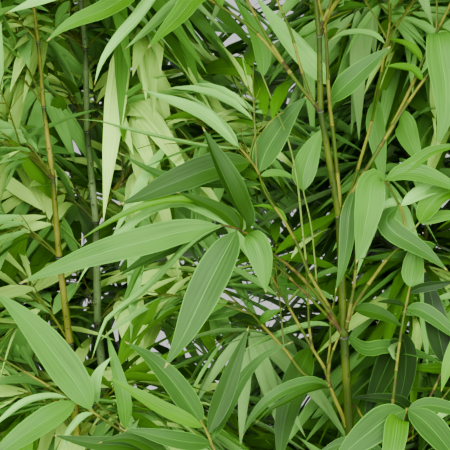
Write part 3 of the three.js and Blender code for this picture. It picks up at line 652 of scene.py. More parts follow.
class PotSettings(PropertyGroup):
    height: size("Height", POT_HIGH.z, "Height of the pot")
    rim: size("Rim radius", POT_HIGH.x, "Outer radius at the rim")
    foot: size("Foot radius", 0.126, "Outer radius at the foot")
    band: size("Band", 0.066, "Height of the band under the rim")
    clay: colour("Clay", "ad5b35", "The fired clay")
    clay_pale: colour("Worn clay", "bf7b55", "The clay where it is rubbed or dry")
    bloom: colour("Bloom", "cbb09b", "The lime that dries on the clay")
    soil: colour("Soil", "2e2118", "The damp potting soil")
    soil_dry: colour("Dry soil", "5b4532", "The dry crumbs on the soil")
    bark: colour("Bark", "6a4328", "The bark chips on the soil")


class CaneSettings(PropertyGroup):
    sides: number("Sides", 18, 8, 48, "Sides of a cane's tube")
    green: colour("Cane green", "2f4308", "A cane between its nodes")
    yellow: colour("Sunned green", "4a5a0b", "A cane where the sun turns it")
    # The waxy tones are a grey-green bloom with painted light in them, brighter for a cane that stands in
    # shade.
    waxy: colour("Waxy green", "557338", "A cane that keeps its bloom of wax")
    waxy_pale: colour("Waxy pale green", "7a945c", "A waxy cane where its bloom is thick")
    # The aged tones are an older olive with painted light in them, brighter for a cane that stands in shade.
    aged: colour("Aged green", "5a6412", "A cane in its last years")
    aged_yellow: colour("Aged yellow", "7d7b2a", "An aged cane where the sun turns it")
    shade: colour("Shade green", "22350c", "A cane just under a node")
    wax: colour("Wax", "4f5e42", "The waxy ring under a node")
    scar: colour("Scar", "1b1a12", "The scar that a sheath leaves at a node")
    sheath: colour("Sheath", "5e5a36", "What remains of a sheath at the scar of a node")


class BranchSettings(PropertyGroup):
    sides: number("Sides", 9, 5, 24, "Sides of a branch's tube")
    straw: colour("Straw", "6a731c", "A dry branch")
    olive: colour("Olive", "385304", "A ripe branch")
    brown: colour("Brown", "3c3510", "A branch that the weather has browned")
    pale: colour("Young green", "64802c", "A young shoot")
    joint: colour("Joint", "33300f", "The scar at a branch's joint")
    twig: colour("Twig", "4b5c1a", "The thin twigs")


class LeafSettings(PropertyGroup):
    length: size("Leaf length", 0.112, "Length of a middling leaf")
    aspect: FloatProperty(name="Aspect", default=0.142, min=0.05, max=0.5,
                          description="Width of a leaf over its length")
    thickness: size("Thickness", 0.0005, "Thickness of a blade")
    twigs: number("Twigs", 10, 1, 20, "Twigs on the stem of each mass")
    sprigs: number("Sprigs", 6, 1, 12, "Sprigs on each twig")
    stem_sprigs: number("Stem sprigs", 10, 0, 20, "Sprigs on the stem itself")
    leaves: number("Leaves", 5, 1, 9, "Most leaves on a sprig")
    leaves_seen: number("Leaves in the window", 8, 1, 9, "Most leaves on a sprig that the window shows")
    # The pale leaf is a paler green with the sky's sheen painted into its colour, a painted reflection.
    pale: colour("Pale leaf", "6aa446", "Leaf that shows the sky in its skin")
    # The fresh leaf is a young green with light shining through it painted into its colour.
    fresh: colour("Fresh leaf", "3f7009", "Leaf of this year with the light in it")
    mid: colour("Leaf", "3b6a1a", "Leaf in its middle age")
    rich: colour("Rich leaf", "2c5117", "Leaf of last year")
    deep: colour("Deep leaf", "1f4004", "Old leaf")
    # The dark leaf is painted shade: the tone of a leaf in the shadow deep in the clump.
    dark: colour("Dark leaf", "152c07", "Old leaf deep in the clump")
    # The lime leaf is a young yellow green, with light shining through it painted into its colour.
    lime: colour("Lime leaf", "356603", "Young leaf, thin and yellow green")
    # The glow leaf is painted light: sun shining through a leaf, painted into a pale yellow green.
    glow: colour("Sunlit leaf", "9ccc54", "Leaf that the sun shines through, deep in the clump")
    under: colour("Underside", "6c9a4c", "Underside of a leaf")
    vein_pale: colour("Pale vein", "65a03e", "Midrib and thin margin of a pale leaf")
    vein_mid: colour("Vein", "498322", "Midrib and thin margin of a leaf of middling green")
    vein_deep: colour("Deep vein", "2f5a19", "Midrib and thin margin of an old leaf")
    tip: colour("Dry tip", "7c7c36", "A tip that has dried")


class StageSettings(PropertyGroup):
    floor: colour("Floor", "f7f6f2", "The floor")
    sky: colour("Sky", "eef1f2", "The soft light all round")
    sky_power: power("Sky power", 0.95, "Strength of the light all round")
    key_power: power("Key power", 140, "Power of the key light, in watts")
    fill_power: power("Fill power", 75, "Power of the low front light, in watts")
    rim_power: power("Rim power", 90, "Power of the light from behind, in watts")


# Small sums


def seeded(seed):
    """A repeatable source of numbers from low to high, the same as the part's source has."""
    state = [seed]

    def between(low, high):
        state[0] = (1664525 * state[0] + 1013904223) % 4294967296
        return low + (high - low) * state[0] / 4294967296

    return between


def unit(vector):
    return vector / np.linalg.norm(vector, axis=-1, keepdims=True)


def level(azimuth):
    return np.array([math.cos(math.radians(azimuth)), math.sin(math.radians(azimuth)), 0.0])


def across(direction):
    """Two unit vectors square to a direction: one level, and one that points up."""
    side = np.cross(direction, UP)
    if np.linalg.norm(side) < NEARLY_UPRIGHT:
        side = np.array([1.0, 0.0, 0.0])
    side = unit(side)
    return side, unit(np.cross(side, direction))


def leaning(along, turn, spread):
    """A direction that leaves a limb at an angle, towards an azimuth counted round it from its level side."""
    side, over = across(along)
    turn, spread = math.radians(turn), math.radians(spread)
    aside = math.cos(turn) * side + math.sin(turn) * over
    return unit(math.cos(spread) * along + math.sin(spread) * aside)


def run_of(line):
    """How far each place of a line is from its start, along it."""
    return np.concatenate([[0], np.cumsum(np.linalg.norm(np.diff(line, axis=0), axis=1))])


def smooth_line(points, count):
    """count places along a smooth curve through the points, evenly spaced."""
    points = np.asarray(points, float)
    run = run_of(points)
    at = np.linspace(0, run[-1], count)
    if len(points) == 2:
        return points[0] + (at / run[-1])[:, None] * (points[1] - points[0])
    slope = np.gradient(points, run, axis=0)
    i = np.clip(np.searchsorted(run, at, side="right") - 1, 0, len(run) - 2)
    h = (run[i + 1] - run[i])[:, None]
    t = (at - run[i])[:, None] / h
    return ((2 * t**3 - 3 * t**2 + 1) * points[i] + (t**3 - 2 * t**2 + t) * h * slope[i]
            + (3 * t**2 - 2 * t**3) * points[i + 1] + (t**3 - t**2) * h * slope[i + 1])


def stem_line(start, direction, length, droop, count):
    """A limb that leaves a place in a direction and droops with the square of its run."""
    s = np.linspace(0, 1, count)[:, None]
    return start + direction * length * s - UP * droop * length * s * s


def on_line(line, s):
    run = s * (len(line) - 1)
    i = min(int(run), len(line) - 2)
    return line[i] + (run - i) * (line[i + 1] - line[i]), unit(line[i + 1] - line[i])


def distances(places, starts, ends):
    """How far each place is from each straight piece of a limb."""
    whole = ends - starts
    reach = np.einsum("pkj,kj->pk", places[:, None] - starts[None], whole)
    share = reach / np.einsum("kj,kj->k", whole, whole)
    near = starts[None] + np.clip(share, 0, 1)[..., None] * whole[None]
    return np.linalg.norm(places[:, None] - near, axis=2)


# The plant's lines


def internodes(cane):
    """Internode lengths: they grow from the foot, and above the longest each is shorter than the last."""
    lengths = [(1 - math.exp(-(i + 1) / RISE)) * SHORTER_EACH ** max(0, i - TOP_LONG_INTERNODE)
               for i in range(INTERNODES)]
    scaled = [length * cane["height"] / sum(lengths) for length in lengths]
    if "lengths" not in cane:
        return scaled
    first, known = cane["first"], cane["lengths"]
    foot = cane["height"] * cane["foot_share"] / sum(scaled[:first])
    above = [known[-1] * SHORTER_EACH ** (i + 1) for i in range(INTERNODES - first - len(known))]
    return [length * foot for length in scaled[:first]] + list(known) + above


@functools.cache
def cane_nodes(name):
    """The nodes of a cane, from its foot to its tip: place, radius and direction."""
    cane = next(one for one in CANES if one["name"] == name)
    lengths = internodes(cane)
    at, run, nodes = np.array([*cane["foot"], SOIL_TOP + GAP], float), 0, []
    for i in range(INTERNODES + 1):
        t, length = run / sum(lengths), lengths[min(i, INTERNODES - 1)]
        middle = min(1, (run + length / 2) / sum(lengths))
        tilt = math.radians(cane["lean"] + cane["arch"] * middle * middle)
        bend = -ZIGZAG if i % 2 else ZIGZAG
        if "bends" in cane:
            known = 0 <= i - cane["first"] < len(cane["bends"])
            bend = cane["bends"][i - cane["first"]] if known else bend / 2
        sideways = level(cane["plane"]) * math.sin(math.radians(bend))
        direction = unit(level(cane["away"]) * math.sin(tilt) + sideways + UP * math.cos(tilt))
        radius = max(TIP_RADIUS, cane["radius"] * max(0, 1 - t) ** TAPER_POWER)
        nodes.append((at, radius, direction))
        at, run = at + direction * length, run + length
    return nodes


@functools.cache
def window():
    """The window's eye, the way it looks, and its own way up."""
    ahead = np.array([0, math.cos(math.radians(LOOK_DOWN)), -math.sin(math.radians(LOOK_DOWN))])
    over = np.array([0, -ahead[2], ahead[1]])
    node = cane_nodes("front")[FRONT_NODE["d"]][0]
    return node - on_window(*WINDOW_NODE, over) - ahead * EYE_DISTANCE, ahead, over


def on_window(right, down, over):
    step, middle = WINDOW_WIDTH / WINDOW_STEPS, WINDOW_STEPS / 2
    return np.array([step * (right - middle), 0, 0]) + over * step * (middle - down)


def seen(right, down, forward):
    """A place measured on the window, in the plant's own millimetres."""
    eye, ahead, over = window()
    return eye + (on_window(right, down, over) + ahead * EYE_DISTANCE) * (1 - forward / EYE_DISTANCE)


def on_glass(places):
    """Where places fall on the window, in steps right and down, and how far they are from its eye."""
    eye, ahead, over = window()
    place, middle = places - eye, WINDOW_STEPS / 2
    depth = place @ ahead
    scale = EYE_DISTANCE / depth * WINDOW_STEPS / WINDOW_WIDTH
    return middle + place[:, 0] * scale, middle - place @ over * scale, depth


def before_soft_canes(places, half):
    """Which places hide one of the two canes that show at the left of the window."""
    right, down, depth = on_glass(places)
    hides = np.zeros(len(places), bool)
    for name in SOFT_CANES:
        nodes = np.array([at for at, _, _ in cane_nodes(name)])
        cane_right, cane_down, cane_depth = on_glass(nodes[::-1])
        off = abs(right - np.interp(down, cane_down, cane_right))
        nearer = depth < np.interp(down, cane_down, cane_depth)
        in_window = (down > SOFT_TOP) & (down < SOFT_FOOT)
        hides |= (off < SOFT_CLEAR + half * WINDOW_STEPS / WINDOW_WIDTH) & nearer & in_window
    return hides


def nearest(place, lines):
    """The place nearest to another one on any of the lines, and how far off it is."""
    starts = np.concatenate([line[:-1] for line in lines])
    ends = np.concatenate([line[1:] for line in lines])
    i = distances(place[None], starts, ends)[0].argmin()
    whole = ends[i] - starts[i]
    at = starts[i] + whole * min(1, max(0, (place - starts[i]) @ whole / (whole @ whole)))
    return at, np.linalg.norm(place - at)


@functools.cache
def shoots():
    """Every branch of the front cane by name: its limbs, each a look, two radii, a line and its joints."""
    made = {}
    cane = np.array([at for at, _, _ in cane_nodes("front")])
    for name, branch in BRANCHES.items():
        at = cane[FRONT_NODE[branch["node"]]]
        bough = [at] + [seen(*place) for place in branch["bough"]]
        stem = [seen(*place) for place in branch["stem"]]
        thick, thin = branch["radius"]
        look = branch["look"]
        line = smooth_line(bough + stem, LINE_STEPS * len(bough + stem))
        limbs = [(look, thick, BOUGH_TAPER * thin, line, len(bough))]
        for look, radius, measured in branch["shoots"]:
            places = [seen(*place) for place in measured]
            # A shoot starts inside the limb that carries it, a branch or the cane.
            root, off = nearest(places[0], [cane] + [limb[3] for limb in limbs])
            places = [root] + (places if off > ROOT_STEP else places[1:])
            line = smooth_line(places, LINE_STEPS * len(places))
            limbs.append((look, radius, SHOOT_TAPER * radius, line, len(places)))
        made[name] = limbs
    return made


def leaf_line(name, places, count=LEAF_PLACES):
    """A measured leaf's midrib, with its foot on the branch that carries it."""
    line = [seen(*place) for place in places]
    cane = np.array([at for at, _, _ in cane_nodes("front")])
    line[0], _ = nearest(line[0], [cane] + [limb[3] for limb in shoots()[name]])
    return smooth_line(line, count)


@functools.cache
def masses():
    """Every mass of leaves: its name, its cane, its stem's line and radii, its size and its seed."""
    made = []
    for i, (name, branch) in enumerate(BRANCHES.items()):
        line = [seen(*branch["bough"][-1])] + [seen(*place) for place in branch["stem"]]
        made.append({"name": f"leaves_{name}", "cane": "front", "stem": smooth_line(line, SHORT_PLACES),
                     "radius": (0, 0), "size": BOUGH_SIZE, "seed": BOUGH_SEED + i})
    for i, (cane, node, azimuth, length) in enumerate(SIDE_MASSES):
        rise = math.radians(SIDE_RISE)
        direction = level(azimuth) * math.cos(rise) + UP * math.sin(rise)
        stem = stem_line(cane_nodes(cane)[node][0], direction, length, SIDE_DROOP, SIDE_PLACES)
        made.append({"name": f"leaves_{cane}_{node}", "cane": cane, "stem": stem, "radius": SIDE_RADII,
                     "size": SIDE_SIZE + length / SIDE_SIZE_LENGTH, "seed": SIDE_SEED + i})
    for i, cane in enumerate(CANES):
        at, _, direction = cane_nodes(cane["name"])[INTERNODES]
        stem = stem_line(at, direction, TOP_MASS_LENGTH, TOP_MASS_DROOP, SHORT_PLACES)
        made.append({"name": f"leaves_{cane['name']}_top", "cane": cane["name"], "stem": stem,
                     "radius": TOP_RADII, "size": TOP_SIZE, "seed": TOP_SEED + i})
    return made


@functools.cache
def obstacles():
    """Every cane, branch and measured leaf as straight pieces, each with a radius."""
    starts, ends, radii = [], [], []

    def block(line, radius):
        starts.extend(line[:-1])
        ends.extend(line[1:])
        radii.extend([radius] * (len(line) - 1))

    for cane in CANES:
        nodes = cane_nodes(cane["name"])
        for (foot, radius, _), (top, _, _) in zip(nodes, nodes[1:]):
            block(np.array([foot, top]), radius)
    for limbs in shoots().values():
        for _, thick, _, line, _ in limbs:
            block(line[::LIMB_STRIDE], thick)
    for name, leaves in NEAR_LEAVES.items():
        for _, width, _, _, *places in leaves:
            half = LEAF_KEEP_OFF * width * WINDOW_WIDTH / WINDOW_STEPS
            block(leaf_line(name, places, LEAF_STEPS), half)
    return np.array(starts), np.array(ends), np.array(radii)


@functools.cache
def stems():
    """The straight pieces of all the masses' stems, and which mass each belongs to."""
    lines = [mass["stem"][::STEM_STRIDE] if len(mass["stem"]) > SHORT_PLACES else mass["stem"]
             for mass in masses()]
    starts = np.concatenate([line[:-1] for line in lines])
    ends = np.concatenate([line[1:] for line in lines])
    owner = np.concatenate([np.full(len(line) - 1, i) for i, line in enumerate(lines)])
    return starts, ends, owner


def fits(places, half, mass):
    """Whether each row of places stays in its mass's space, off the limbs and out of the line of sight."""
    n, k, _ = places.shape
    flat = places.reshape(-1, 3)
    good = flat[:, 2] > SOIL_TOP + LOWEST_LEAF
    if mass is not None:
        starts, ends, owner = stems()
        away = distances(flat, starts, ends)
        good &= away[:, owner == mass].min(axis=1) < away[:, owner != mass].min(axis=1) + CELL_MIX
    starts, ends, radii = obstacles()
    clear = (distances(flat, starts, ends) - radii[None]).min(axis=1).reshape(n, k)
    # The first place of a row is near the limb that carries it.
    clear[:, 0] = np.inf
    good &= (clear > half + LIMB_MARGIN).reshape(-1)
    sight = seen(WINDOW_STEPS / 2, WINDOW_STEPS / 2, 0)
    in_sight = (abs(flat[:, 0] - sight[0]) < SIGHT_HALF) & (abs(flat[:, 2] - sight[2]) < SIGHT_HALF)
    good &= ~in_sight | (flat[:, 1] > sight[1] + SIGHT_BEHIND)
    good &= ~before_soft_canes(flat, half.reshape(-1))
    low, high = np.array(CAD_BOX[0]) / MM + BOX_MARGIN, np.array(CAD_BOX[1]) / MM - BOX_MARGIN
    good &= ((flat > low) & (flat < high)).all(axis=1)
    return good.reshape(n, k).all(axis=1)


# Meshes


def deselect():
    if bpy.context.object and bpy.context.object.mode != "OBJECT":
        bpy.ops.object.mode_set(mode="OBJECT")
    bpy.ops.object.select_all(action="DESELECT")


def activate(piece):
    deselect()
    piece.select_set(True)
    bpy.context.view_layer.objects.active = piece


def demand(holds, words):
    """Stops the script, as a step that can't finish would leave the plant short of a piece."""
    if not holds:
        raise RuntimeError(words)


def face_outwards(piece):
    """Turns every face of a closed piece outwards."""
    activate(piece)
    bpy.ops.object.mode_set(mode="EDIT")
    bpy.ops.mesh.select_all(action="SELECT")
    bpy.ops.mesh.normals_make_consistent(inside=False)
    bpy.ops.object.mode_set(mode="OBJECT")


def join(pieces):
    """Joins pieces into the first one."""
    activate(pieces[0])
    for piece in pieces[1:]:
        piece.select_set(True)
    bpy.ops.object.join()
    return pieces[0]


def finish_piece(piece, name, replaced, materials, angle):
    """Names a piece, gives it its materials, hangs it on what it rides on, and hides the parts that it stands
    for.
    """
    triangles = sum(face.loop_total - 2 for face in piece.data.polygons)
    demand(0 < triangles < MOST_TRIANGLES, f"{name} has {triangles} triangles")
    piece.name = name
    piece.data.name = name
    for material in materials:
        piece.data.materials.append(material)
    activate(piece)
    bpy.ops.object.shade_smooth_by_angle(angle=math.radians(angle))
    deselect()
    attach(piece, "root")
    if replaced:
        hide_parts(*replaced)
    return piece


class Heap:
    """Tubes and blades gathered in arrays, to be joined as one mesh."""

    def __init__(self):
        self.places, self.corners, self.counts, self.slots, self.uvs, self.size = [], [], [], [], [], 0

    def add(self, places, corners, counts, slots, uvs):
        self.places.append(places)
        self.corners.append(np.asarray(corners) + self.size)
        self.counts.append(np.asarray(counts))
        self.slots.append(np.asarray(slots))
        self.uvs.append(np.asarray(uvs))
        self.size += len(places)

    def piece(self, name):
        """The heap as one object, in metres."""
        mesh = bpy.data.meshes.new(name)
        counts = np.concatenate(self.counts)
        corners = np.concatenate(self.corners)
        mesh.vertices.add(self.size)
        mesh.vertices.foreach_set("co", (np.concatenate(self.places) * MM).astype(np.float32).ravel())
        mesh.loops.add(len(corners))
        mesh.loops.foreach_set("vertex_index", corners.astype(np.int32))
        mesh.polygons.add(len(counts))
        starts = np.concatenate([[0], np.cumsum(counts)[:-1]])
        mesh.polygons.foreach_set("loop_start", starts.astype(np.int32))
        mesh.polygons.foreach_set("material_index", np.concatenate(self.slots).astype(np.int32))
        mesh.polygons.foreach_set("use_smooth", np.ones(len(counts), bool))
        layer = mesh.uv_layers.new(name="along")
        layer.data.foreach_set("uv", np.concatenate(self.uvs).astype(np.float32).ravel())
        mesh.update(calc_edges=True)
        mesh.validate()
        made = bpy.data.objects.new(name, mesh)
        bpy.context.scene.collection.objects.link(made)
        return made


def tube(heap, line, radii, sides, slot):
    """Adds a closed tube: a ring at each place of the line, without a twist, and a cap at each end."""
    steps = len(line)
    ahead = unit(np.gradient(line, axis=0))
    side = np.empty_like(line)
    side[0] = across(ahead[0])[0]
    for i in range(1, steps):
        side[i] = unit(side[i - 1] - ahead[i] * (side[i - 1] @ ahead[i]))
    over = np.cross(side, ahead)
    turn = 2 * math.pi * np.arange(sides) / sides
    places = (line[:, None] + (radii[:, None] * np.cos(turn))[..., None] * side[:, None]
              + (radii[:, None] * np.sin(turn))[..., None] * over[:, None])
    i, j = np.meshgrid(np.arange(steps - 1), np.arange(sides), indexing="ij")
    k, low, high = (j + 1) % sides, i * sides, (i + 1) * sides
    quads = np.stack([low + j, high + j, high + k, low + k], axis=-1).reshape(-1, 4)
    runs = run_of(line) / RUN_UNIT
    u0, u1, v0, v1 = j / sides, (j + 1) / sides, runs[i], runs[i + 1]
    around = [(u0, v0), (u0, v1), (u1, v1), (u1, v0)]
    uvs = np.stack([np.stack(pair, -1) for pair in around], axis=2).reshape(-1, 2)
    foot, top = np.arange(sides), (steps - 1) * sides + np.arange(sides)[::-1]
    corners = np.concatenate([quads.ravel(), foot, top])
    counts = np.concatenate([np.full(len(quads), 4), [sides, sides]])
    uvs = np.concatenate([uvs, np.full((2 * sides, 2), 0.5)])
    heap.add(places.reshape(-1, 3), corners, counts, np.full(len(counts), slot), uvs)


def turn_ring(old, new, at):
    """Turns the selected ring about its middle, from the way that the limb went to the way that it goes."""
    axis = np.cross(old, new)
    angle = math.asin(min(1, np.linalg.norm(axis)))
    if angle < SMALL_TURN:
        return
    side, over = across(unit(axis))
    # Without a window, rotate turns the other way.
    bpy.ops.transform.rotate(value=-angle, orient_axis="Z", orient_matrix=(over, side, unit(axis)),
                             center_override=at)


def draw_limb(line, radii, sides, slots, runs, materials):
    """Models a round limb: each ring is extruded to its place, sized, and turned the limb's way."""
    ahead, places = unit(np.gradient(line, axis=0)), line * MM
    deselect()
    bpy.ops.mesh.primitive_circle_add(vertices=sides, radius=radii[0] * MM, fill_type="NGON",
                                      location=places[0], calc_uvs=False)
    bpy.ops.object.transform_apply(location=True, rotation=True, scale=True)
    limb = bpy.context.object
    bpy.ops.object.mode_set(mode="EDIT")
    bpy.ops.mesh.select_all(action="SELECT")
    turn_ring(UP, ahead[0], places[0])
    for i in range(1, len(line)):
        bpy.ops.mesh.extrude_region_move(TRANSFORM_OT_translate={"value": places[i] - places[i - 1]})
        share = radii[i] / radii[i - 1]
        bpy.ops.transform.resize(value=(share, share, share), center_override=places[i])
        turn_ring(ahead[i - 1], ahead[i], places[i])
    bpy.ops.object.mode_set(mode="OBJECT")
    face_outwards(limb)
    for material in materials:
        limb.data.materials.append(material)
    mark_limb(limb.data, sides, slots, runs)
    return limb


def mark_limb(mesh, sides, slots, runs):
    """Gives each step of a limb its finish, and maps it once round and along its run."""
    layer = mesh.uv_layers.new(name="along")
    for face in mesh.polygons:
        rings = [i // sides for i in face.vertices]
        columns = [i % sides for i in face.vertices]
        face.material_index = slots[min(*rings, len(slots) - 1)]
        closes = max(columns) - min(columns) > 1
        for corner, ring, column in zip(face.loop_indices, rings, columns):
            turned = sides if closes and column == 0 else column
            layer.data[corner].uv = (turned / sides, runs[ring])


# Nodes and materials


def add(tree, kind, inputs=(), **settings):
    """Adds a node with its settings. An input is a value, or another node's output to be linked."""
    node = tree.nodes.new(kind)
    for name, value in settings.items():
        setattr(node, name, value)
    for key, value in dict(inputs).items():
        if isinstance(value, bpy.types.NodeSocket):
            tree.links.new(value, node.inputs[key])
        else:
            node.inputs[key].default_value = value
    return node


def surface(name, roughness, specular):
    """A new material with its surface shader: the material, its node tree and the shader."""
    material = bpy.data.materials.new(name)
    material.use_nodes = True
    tree = material.node_tree
    tree.nodes.clear()
    inputs = {"Roughness": roughness, "Specular IOR Level": specular}
    shader = add(tree, "ShaderNodeBsdfPrincipled", inputs)
    add(tree, "ShaderNodeOutputMaterial", {"Surface": shader.outputs["BSDF"]})
    return material, tree, shader


def rgba(value):
    return (*value, 1.0)


def toned(tone, share):
    """A colour made darker or lighter by a share."""
    return tuple(min(1, part * share) for part in tone)


def place_of(tree):
    return add(tree, "ShaderNodeTexCoord").outputs["Object"]


def map_of(tree):
    return add(tree, "ShaderNodeUVMap", uv_map="along").outputs["UV"]


def stretched(tree, vector, scale):
    return add(tree, "ShaderNodeMapping", {"Vector": vector, "Scale": scale}).outputs["Vector"]


def noise(tree, vector, scale, detail):
    inputs = {"Vector": vector, "Scale": scale, "Detail": detail}
    return add(tree, "ShaderNodeTexNoise", inputs).outputs["Fac"]


def bands(tree, value, low, high):
    """A share that runs from 0 to 1 while the value runs from low to high."""
    inputs = {"Value": value, "From Min": low, "From Max": high}
    return add(tree, "ShaderNodeMapRange", inputs, clamp=True).outputs["Result"]


def mixed(tree, share, first, second):
    """A blend of two colours by a share."""
    colours = [one if isinstance(one, bpy.types.NodeSocket) else rgba(one) for one in (first, second)]
    return add(tree, "ShaderNodeMix", {0: share, 6: colours[0], 7: colours[1]}, data_type="RGBA").outputs[2]


def skin(tree, shader, tone, height, strength, depth, **more):
    """Links a shader to its colour and its relief, whose depth is in metres."""
    inputs = {"Height": height, "Strength": strength, "Distance": depth}
    bump = add(tree, "ShaderNodeBump", inputs, **more)
    tree.links.new(tone, shader.inputs["Base Color"])
    tree.links.new(bump.outputs["Normal"], shader.inputs["Normal"])


def leaf_blade(part, tone, roughness, specular, spread):
    """Bamboo leaf, a living blade with fine lengthwise veins.

    The eye gets a soft satin sheen, streaks that run from foot to tip, and a tone that drifts from leaf to
    leaf. Real veins are about 1 mm apart, too fine to show, so the streaks are drawn about 2 mm apart."""
    material, tree, shader = surface(f"bamboo_leaf_{part}", roughness, specular)
    streak = noise(tree, stretched(tree, map_of(tree), (14.4, 1.44, 1)), 1, 3)
    drift = noise(tree, place_of(tree), 28, 2)
    light = toned(tone, 1 + spread)
    fine = mixed(tree, bands(tree, streak, 0.38, 0.62), toned(tone, 1 - spread), light)
    skin(tree, shader, mixed(tree, bands(tree, drift, 0.35, 0.75), fine, light), streak, 0.35, 0.0006)
    return material


@functools.cache
def leaf_materials():
    """The finishes of the leaves, in the order of LEAF_SLOTS.

    An upper skin is satin, with streaks that are easy to see. The underside is paler, more matt and more
    even. A vein, the midrib and thin margin, is smooth and hardly streaked. A dried tip is a dull straw."""
    s = bpy.context.scene.bamboo_leaves
    skins = [leaf_blade(kind, getattr(s, kind), 0.5, 0.14, 0.24) for kind in LEAF_KINDS]
    underside = leaf_blade("underside", s.under, 0.65, 0.15, 0.08)
    veins = [leaf_blade(vein, getattr(s, vein), 0.55, 0.2, 0.06) for vein in LEAF_VEINS]
    return [*skins, underside, *veins, leaf_blade("dried", s.tip, 0.8, 0.1, 0.2)]


def bamboo_wood(name, tone, blotched, roughness, reach):
    """Woody shoot of bamboo with a smooth hard skin.

    The eye gets lengthwise fibres about 0.5 mm apart, drawn at 1 mm to show, and blotches 8 mm across where
    the skin has weathered. The reach is the share of noise over which a blotch fades in."""
    material, tree, shader = surface(name, roughness, 0.16)
    fibre = noise(tree, stretched(tree, map_of(tree), (14, 1, 1)), 1, 3)
    blotch = noise(tree, place_of(tree), 130, 3)
    fine = mixed(tree, bands(tree, fibre, 0.35, 0.65), toned(tone, 0.72), tone)
    weathered = mixed(tree, bands(tree, blotch, 0.45, 0.45 + reach), fine, blotched)
    skin(tree, shader, weathered, fibre, 0.3, 0.0004)
    return material


# The finishes of branches, shoots and twigs, in the order of BRANCH_SLOTS: each has its tone, its blotches,
# its roughness, and how softly the blotches fade.
WOODS = {
    # A branch dried to straw, and a ripe one of olive green, with brown blotches.
    "branch_dried": ("straw", "brown", 0.6, 0.38),
    "branch_ripened": ("olive", "brown", 0.55, 0.33),
    # A branch browned by the weather, with straw blotches.
    "branch_weathered": ("brown", "straw", 0.6, 0.3),
    # A young shoot, pale green and hardly blotched.
    "shoot_young": ("pale", "olive", 0.5, 0.43),
    # The scar at a joint: dark, rough and dull, with remains of straw scales.
    "joint_scarred": ("joint", "straw", 0.7, 0.3),
    # A thin twig, green with straw blotches.
    "twig_green": ("twig", "straw", 0.5, 0.38),
}


@functools.cache
def branch_materials():
    s = bpy.context.scene.bamboo_branches
    return [bamboo_wood(f"bamboo_{name}", getattr(s, tone), getattr(s, blotched), roughness, reach)
            for name, (tone, blotched, roughness, reach) in WOODS.items()]


def cane_skin(name, green, yellow):
    """Living bamboo cane, a hard satin skin.

    The green turns grey-green just under a node and yellower above it, with lengthwise fibres about 0.6 mm
    apart, drawn at 1.2 mm, and small dark specks."""
    s = bpy.context.scene.bamboo_canes
    material, tree, shader = surface(name, 0.5, 0.13)
    place = place_of(tree)
    fibre = noise(tree, stretched(tree, place, (900, 900, 16)), 1, 2)
    cloud = noise(tree, place, 38, 3)
    speck = noise(tree, place, 420, 1)
    run = add(tree, "ShaderNodeSeparateXYZ", {"Vector": map_of(tree)}).outputs["Y"]
    fine = mixed(tree, bands(tree, fibre, 0.35, 0.65), toned(green, 0.74), green)
    sunned = mixed(tree, bands(tree, cloud, 0.45, 0.75), fine, yellow)
    shaded = mixed(tree, bands(tree, run, 0.72, 0.98), sunned, s.shade)
    skin(tree, shader, mixed(tree, bands(tree, speck, 0.66, 0.72), shaded, s.scar), fibre, 0.15, 0.0004)
    return material


def node_ring(name, tone, under, roughness):
    """A ring at a cane's node, worn through in flecks of about 1.5 mm."""
    material, tree, shader = surface(name, roughness, 0.3)
    fleck = noise(tree, place_of(tree), 650, 2)
    skin(tree, shader, mixed(tree, bands(tree, fleck, 0.5, 0.72), tone, under), fleck, 0.4, 0.0003)
    return material


def node_wax():
    """Wax bloom under a node: a dusty pale ring, dull, with the cane's green in its flecks."""
    s = bpy.context.scene.bamboo_canes
    return node_ring("bamboo_wax_bloom", s.wax, s.shade, 0.8)


def node_scar():
    """Cork of the scar at a node: dark and dull, with remains of the sheath that fell from it."""
    s = bpy.context.scene.bamboo_canes
    return node_ring("bamboo_scar_corky", s.scar, s.sheath, 0.75)


@functools.cache
def node_materials():
    """The two finishes of a node, the same for canes of every age."""
    return [node_wax(), node_scar()]


@functools.cache
def cane_materials(age):
    """The finishes of a cane, in the order that NODE_RELIEF counts them."""
    s = bpy.context.scene.bamboo_canes
    # The aged and waxy tones hold painted light as well as their own colour.
    tones = {"grown": (s.green, s.yellow), "waxy": (s.waxy, s.waxy_pale), "aged": (s.aged, s.aged_yellow)}
    return [cane_skin(f"bamboo_cane_{age}", *tones[age]), *node_materials()]


def clay_material():
    """Terracotta, thrown and fired without a glaze.

    The eye gets a dull warm clay with faint turning rings about 4 mm apart, fine grit, paler rubbed places,
    and a white bloom of lime where damp has dried near the foot and under the band."""
    s = bpy.context.scene.bamboo_pot
    material, tree, shader = surface("terracotta_fired", 0.86, 0.25)
    place = place_of(tree)
    height = add(tree, "ShaderNodeSeparateXYZ", {"Vector": place}).outputs["Z"]
    cloud = noise(tree, place, 9, 5)
    grit = noise(tree, place, 420, 2)
    rings = noise(tree, stretched(tree, place, (3, 3, 240)), 1, 2)
    drips = noise(tree, stretched(tree, place, (22, 22, 7)), 1, 6)
    rubbed = mixed(tree, bands(tree, cloud, 0.35, 0.7), s.clay, s.clay_pale)
    gritty = mixed(tree, bands(tree, grit, 0.58, 0.75), rubbed, toned(s.clay, 0.6))
    at_foot = bands(tree, height, 0.17, 0)
    under_band = bands(tree, height, 0.21, s.height - s.band)
    damp = add(tree, "ShaderNodeMath", {0: at_foot, 1: under_band}, operation="MAXIMUM").outputs[0]
    patch = bands(tree, drips, 0.5, 0.72)
    bloomed = add(tree, "ShaderNodeMath", {0: damp, 1: patch}, operation="MULTIPLY").outputs[0]
    both = add(tree, "ShaderNodeMath", {0: grit, 1: rings}, operation="ADD").outputs[0]
    skin(tree, shader, mixed(tree, bloomed, gritty, s.bloom), both, 0.5, 0.0007)
    return material


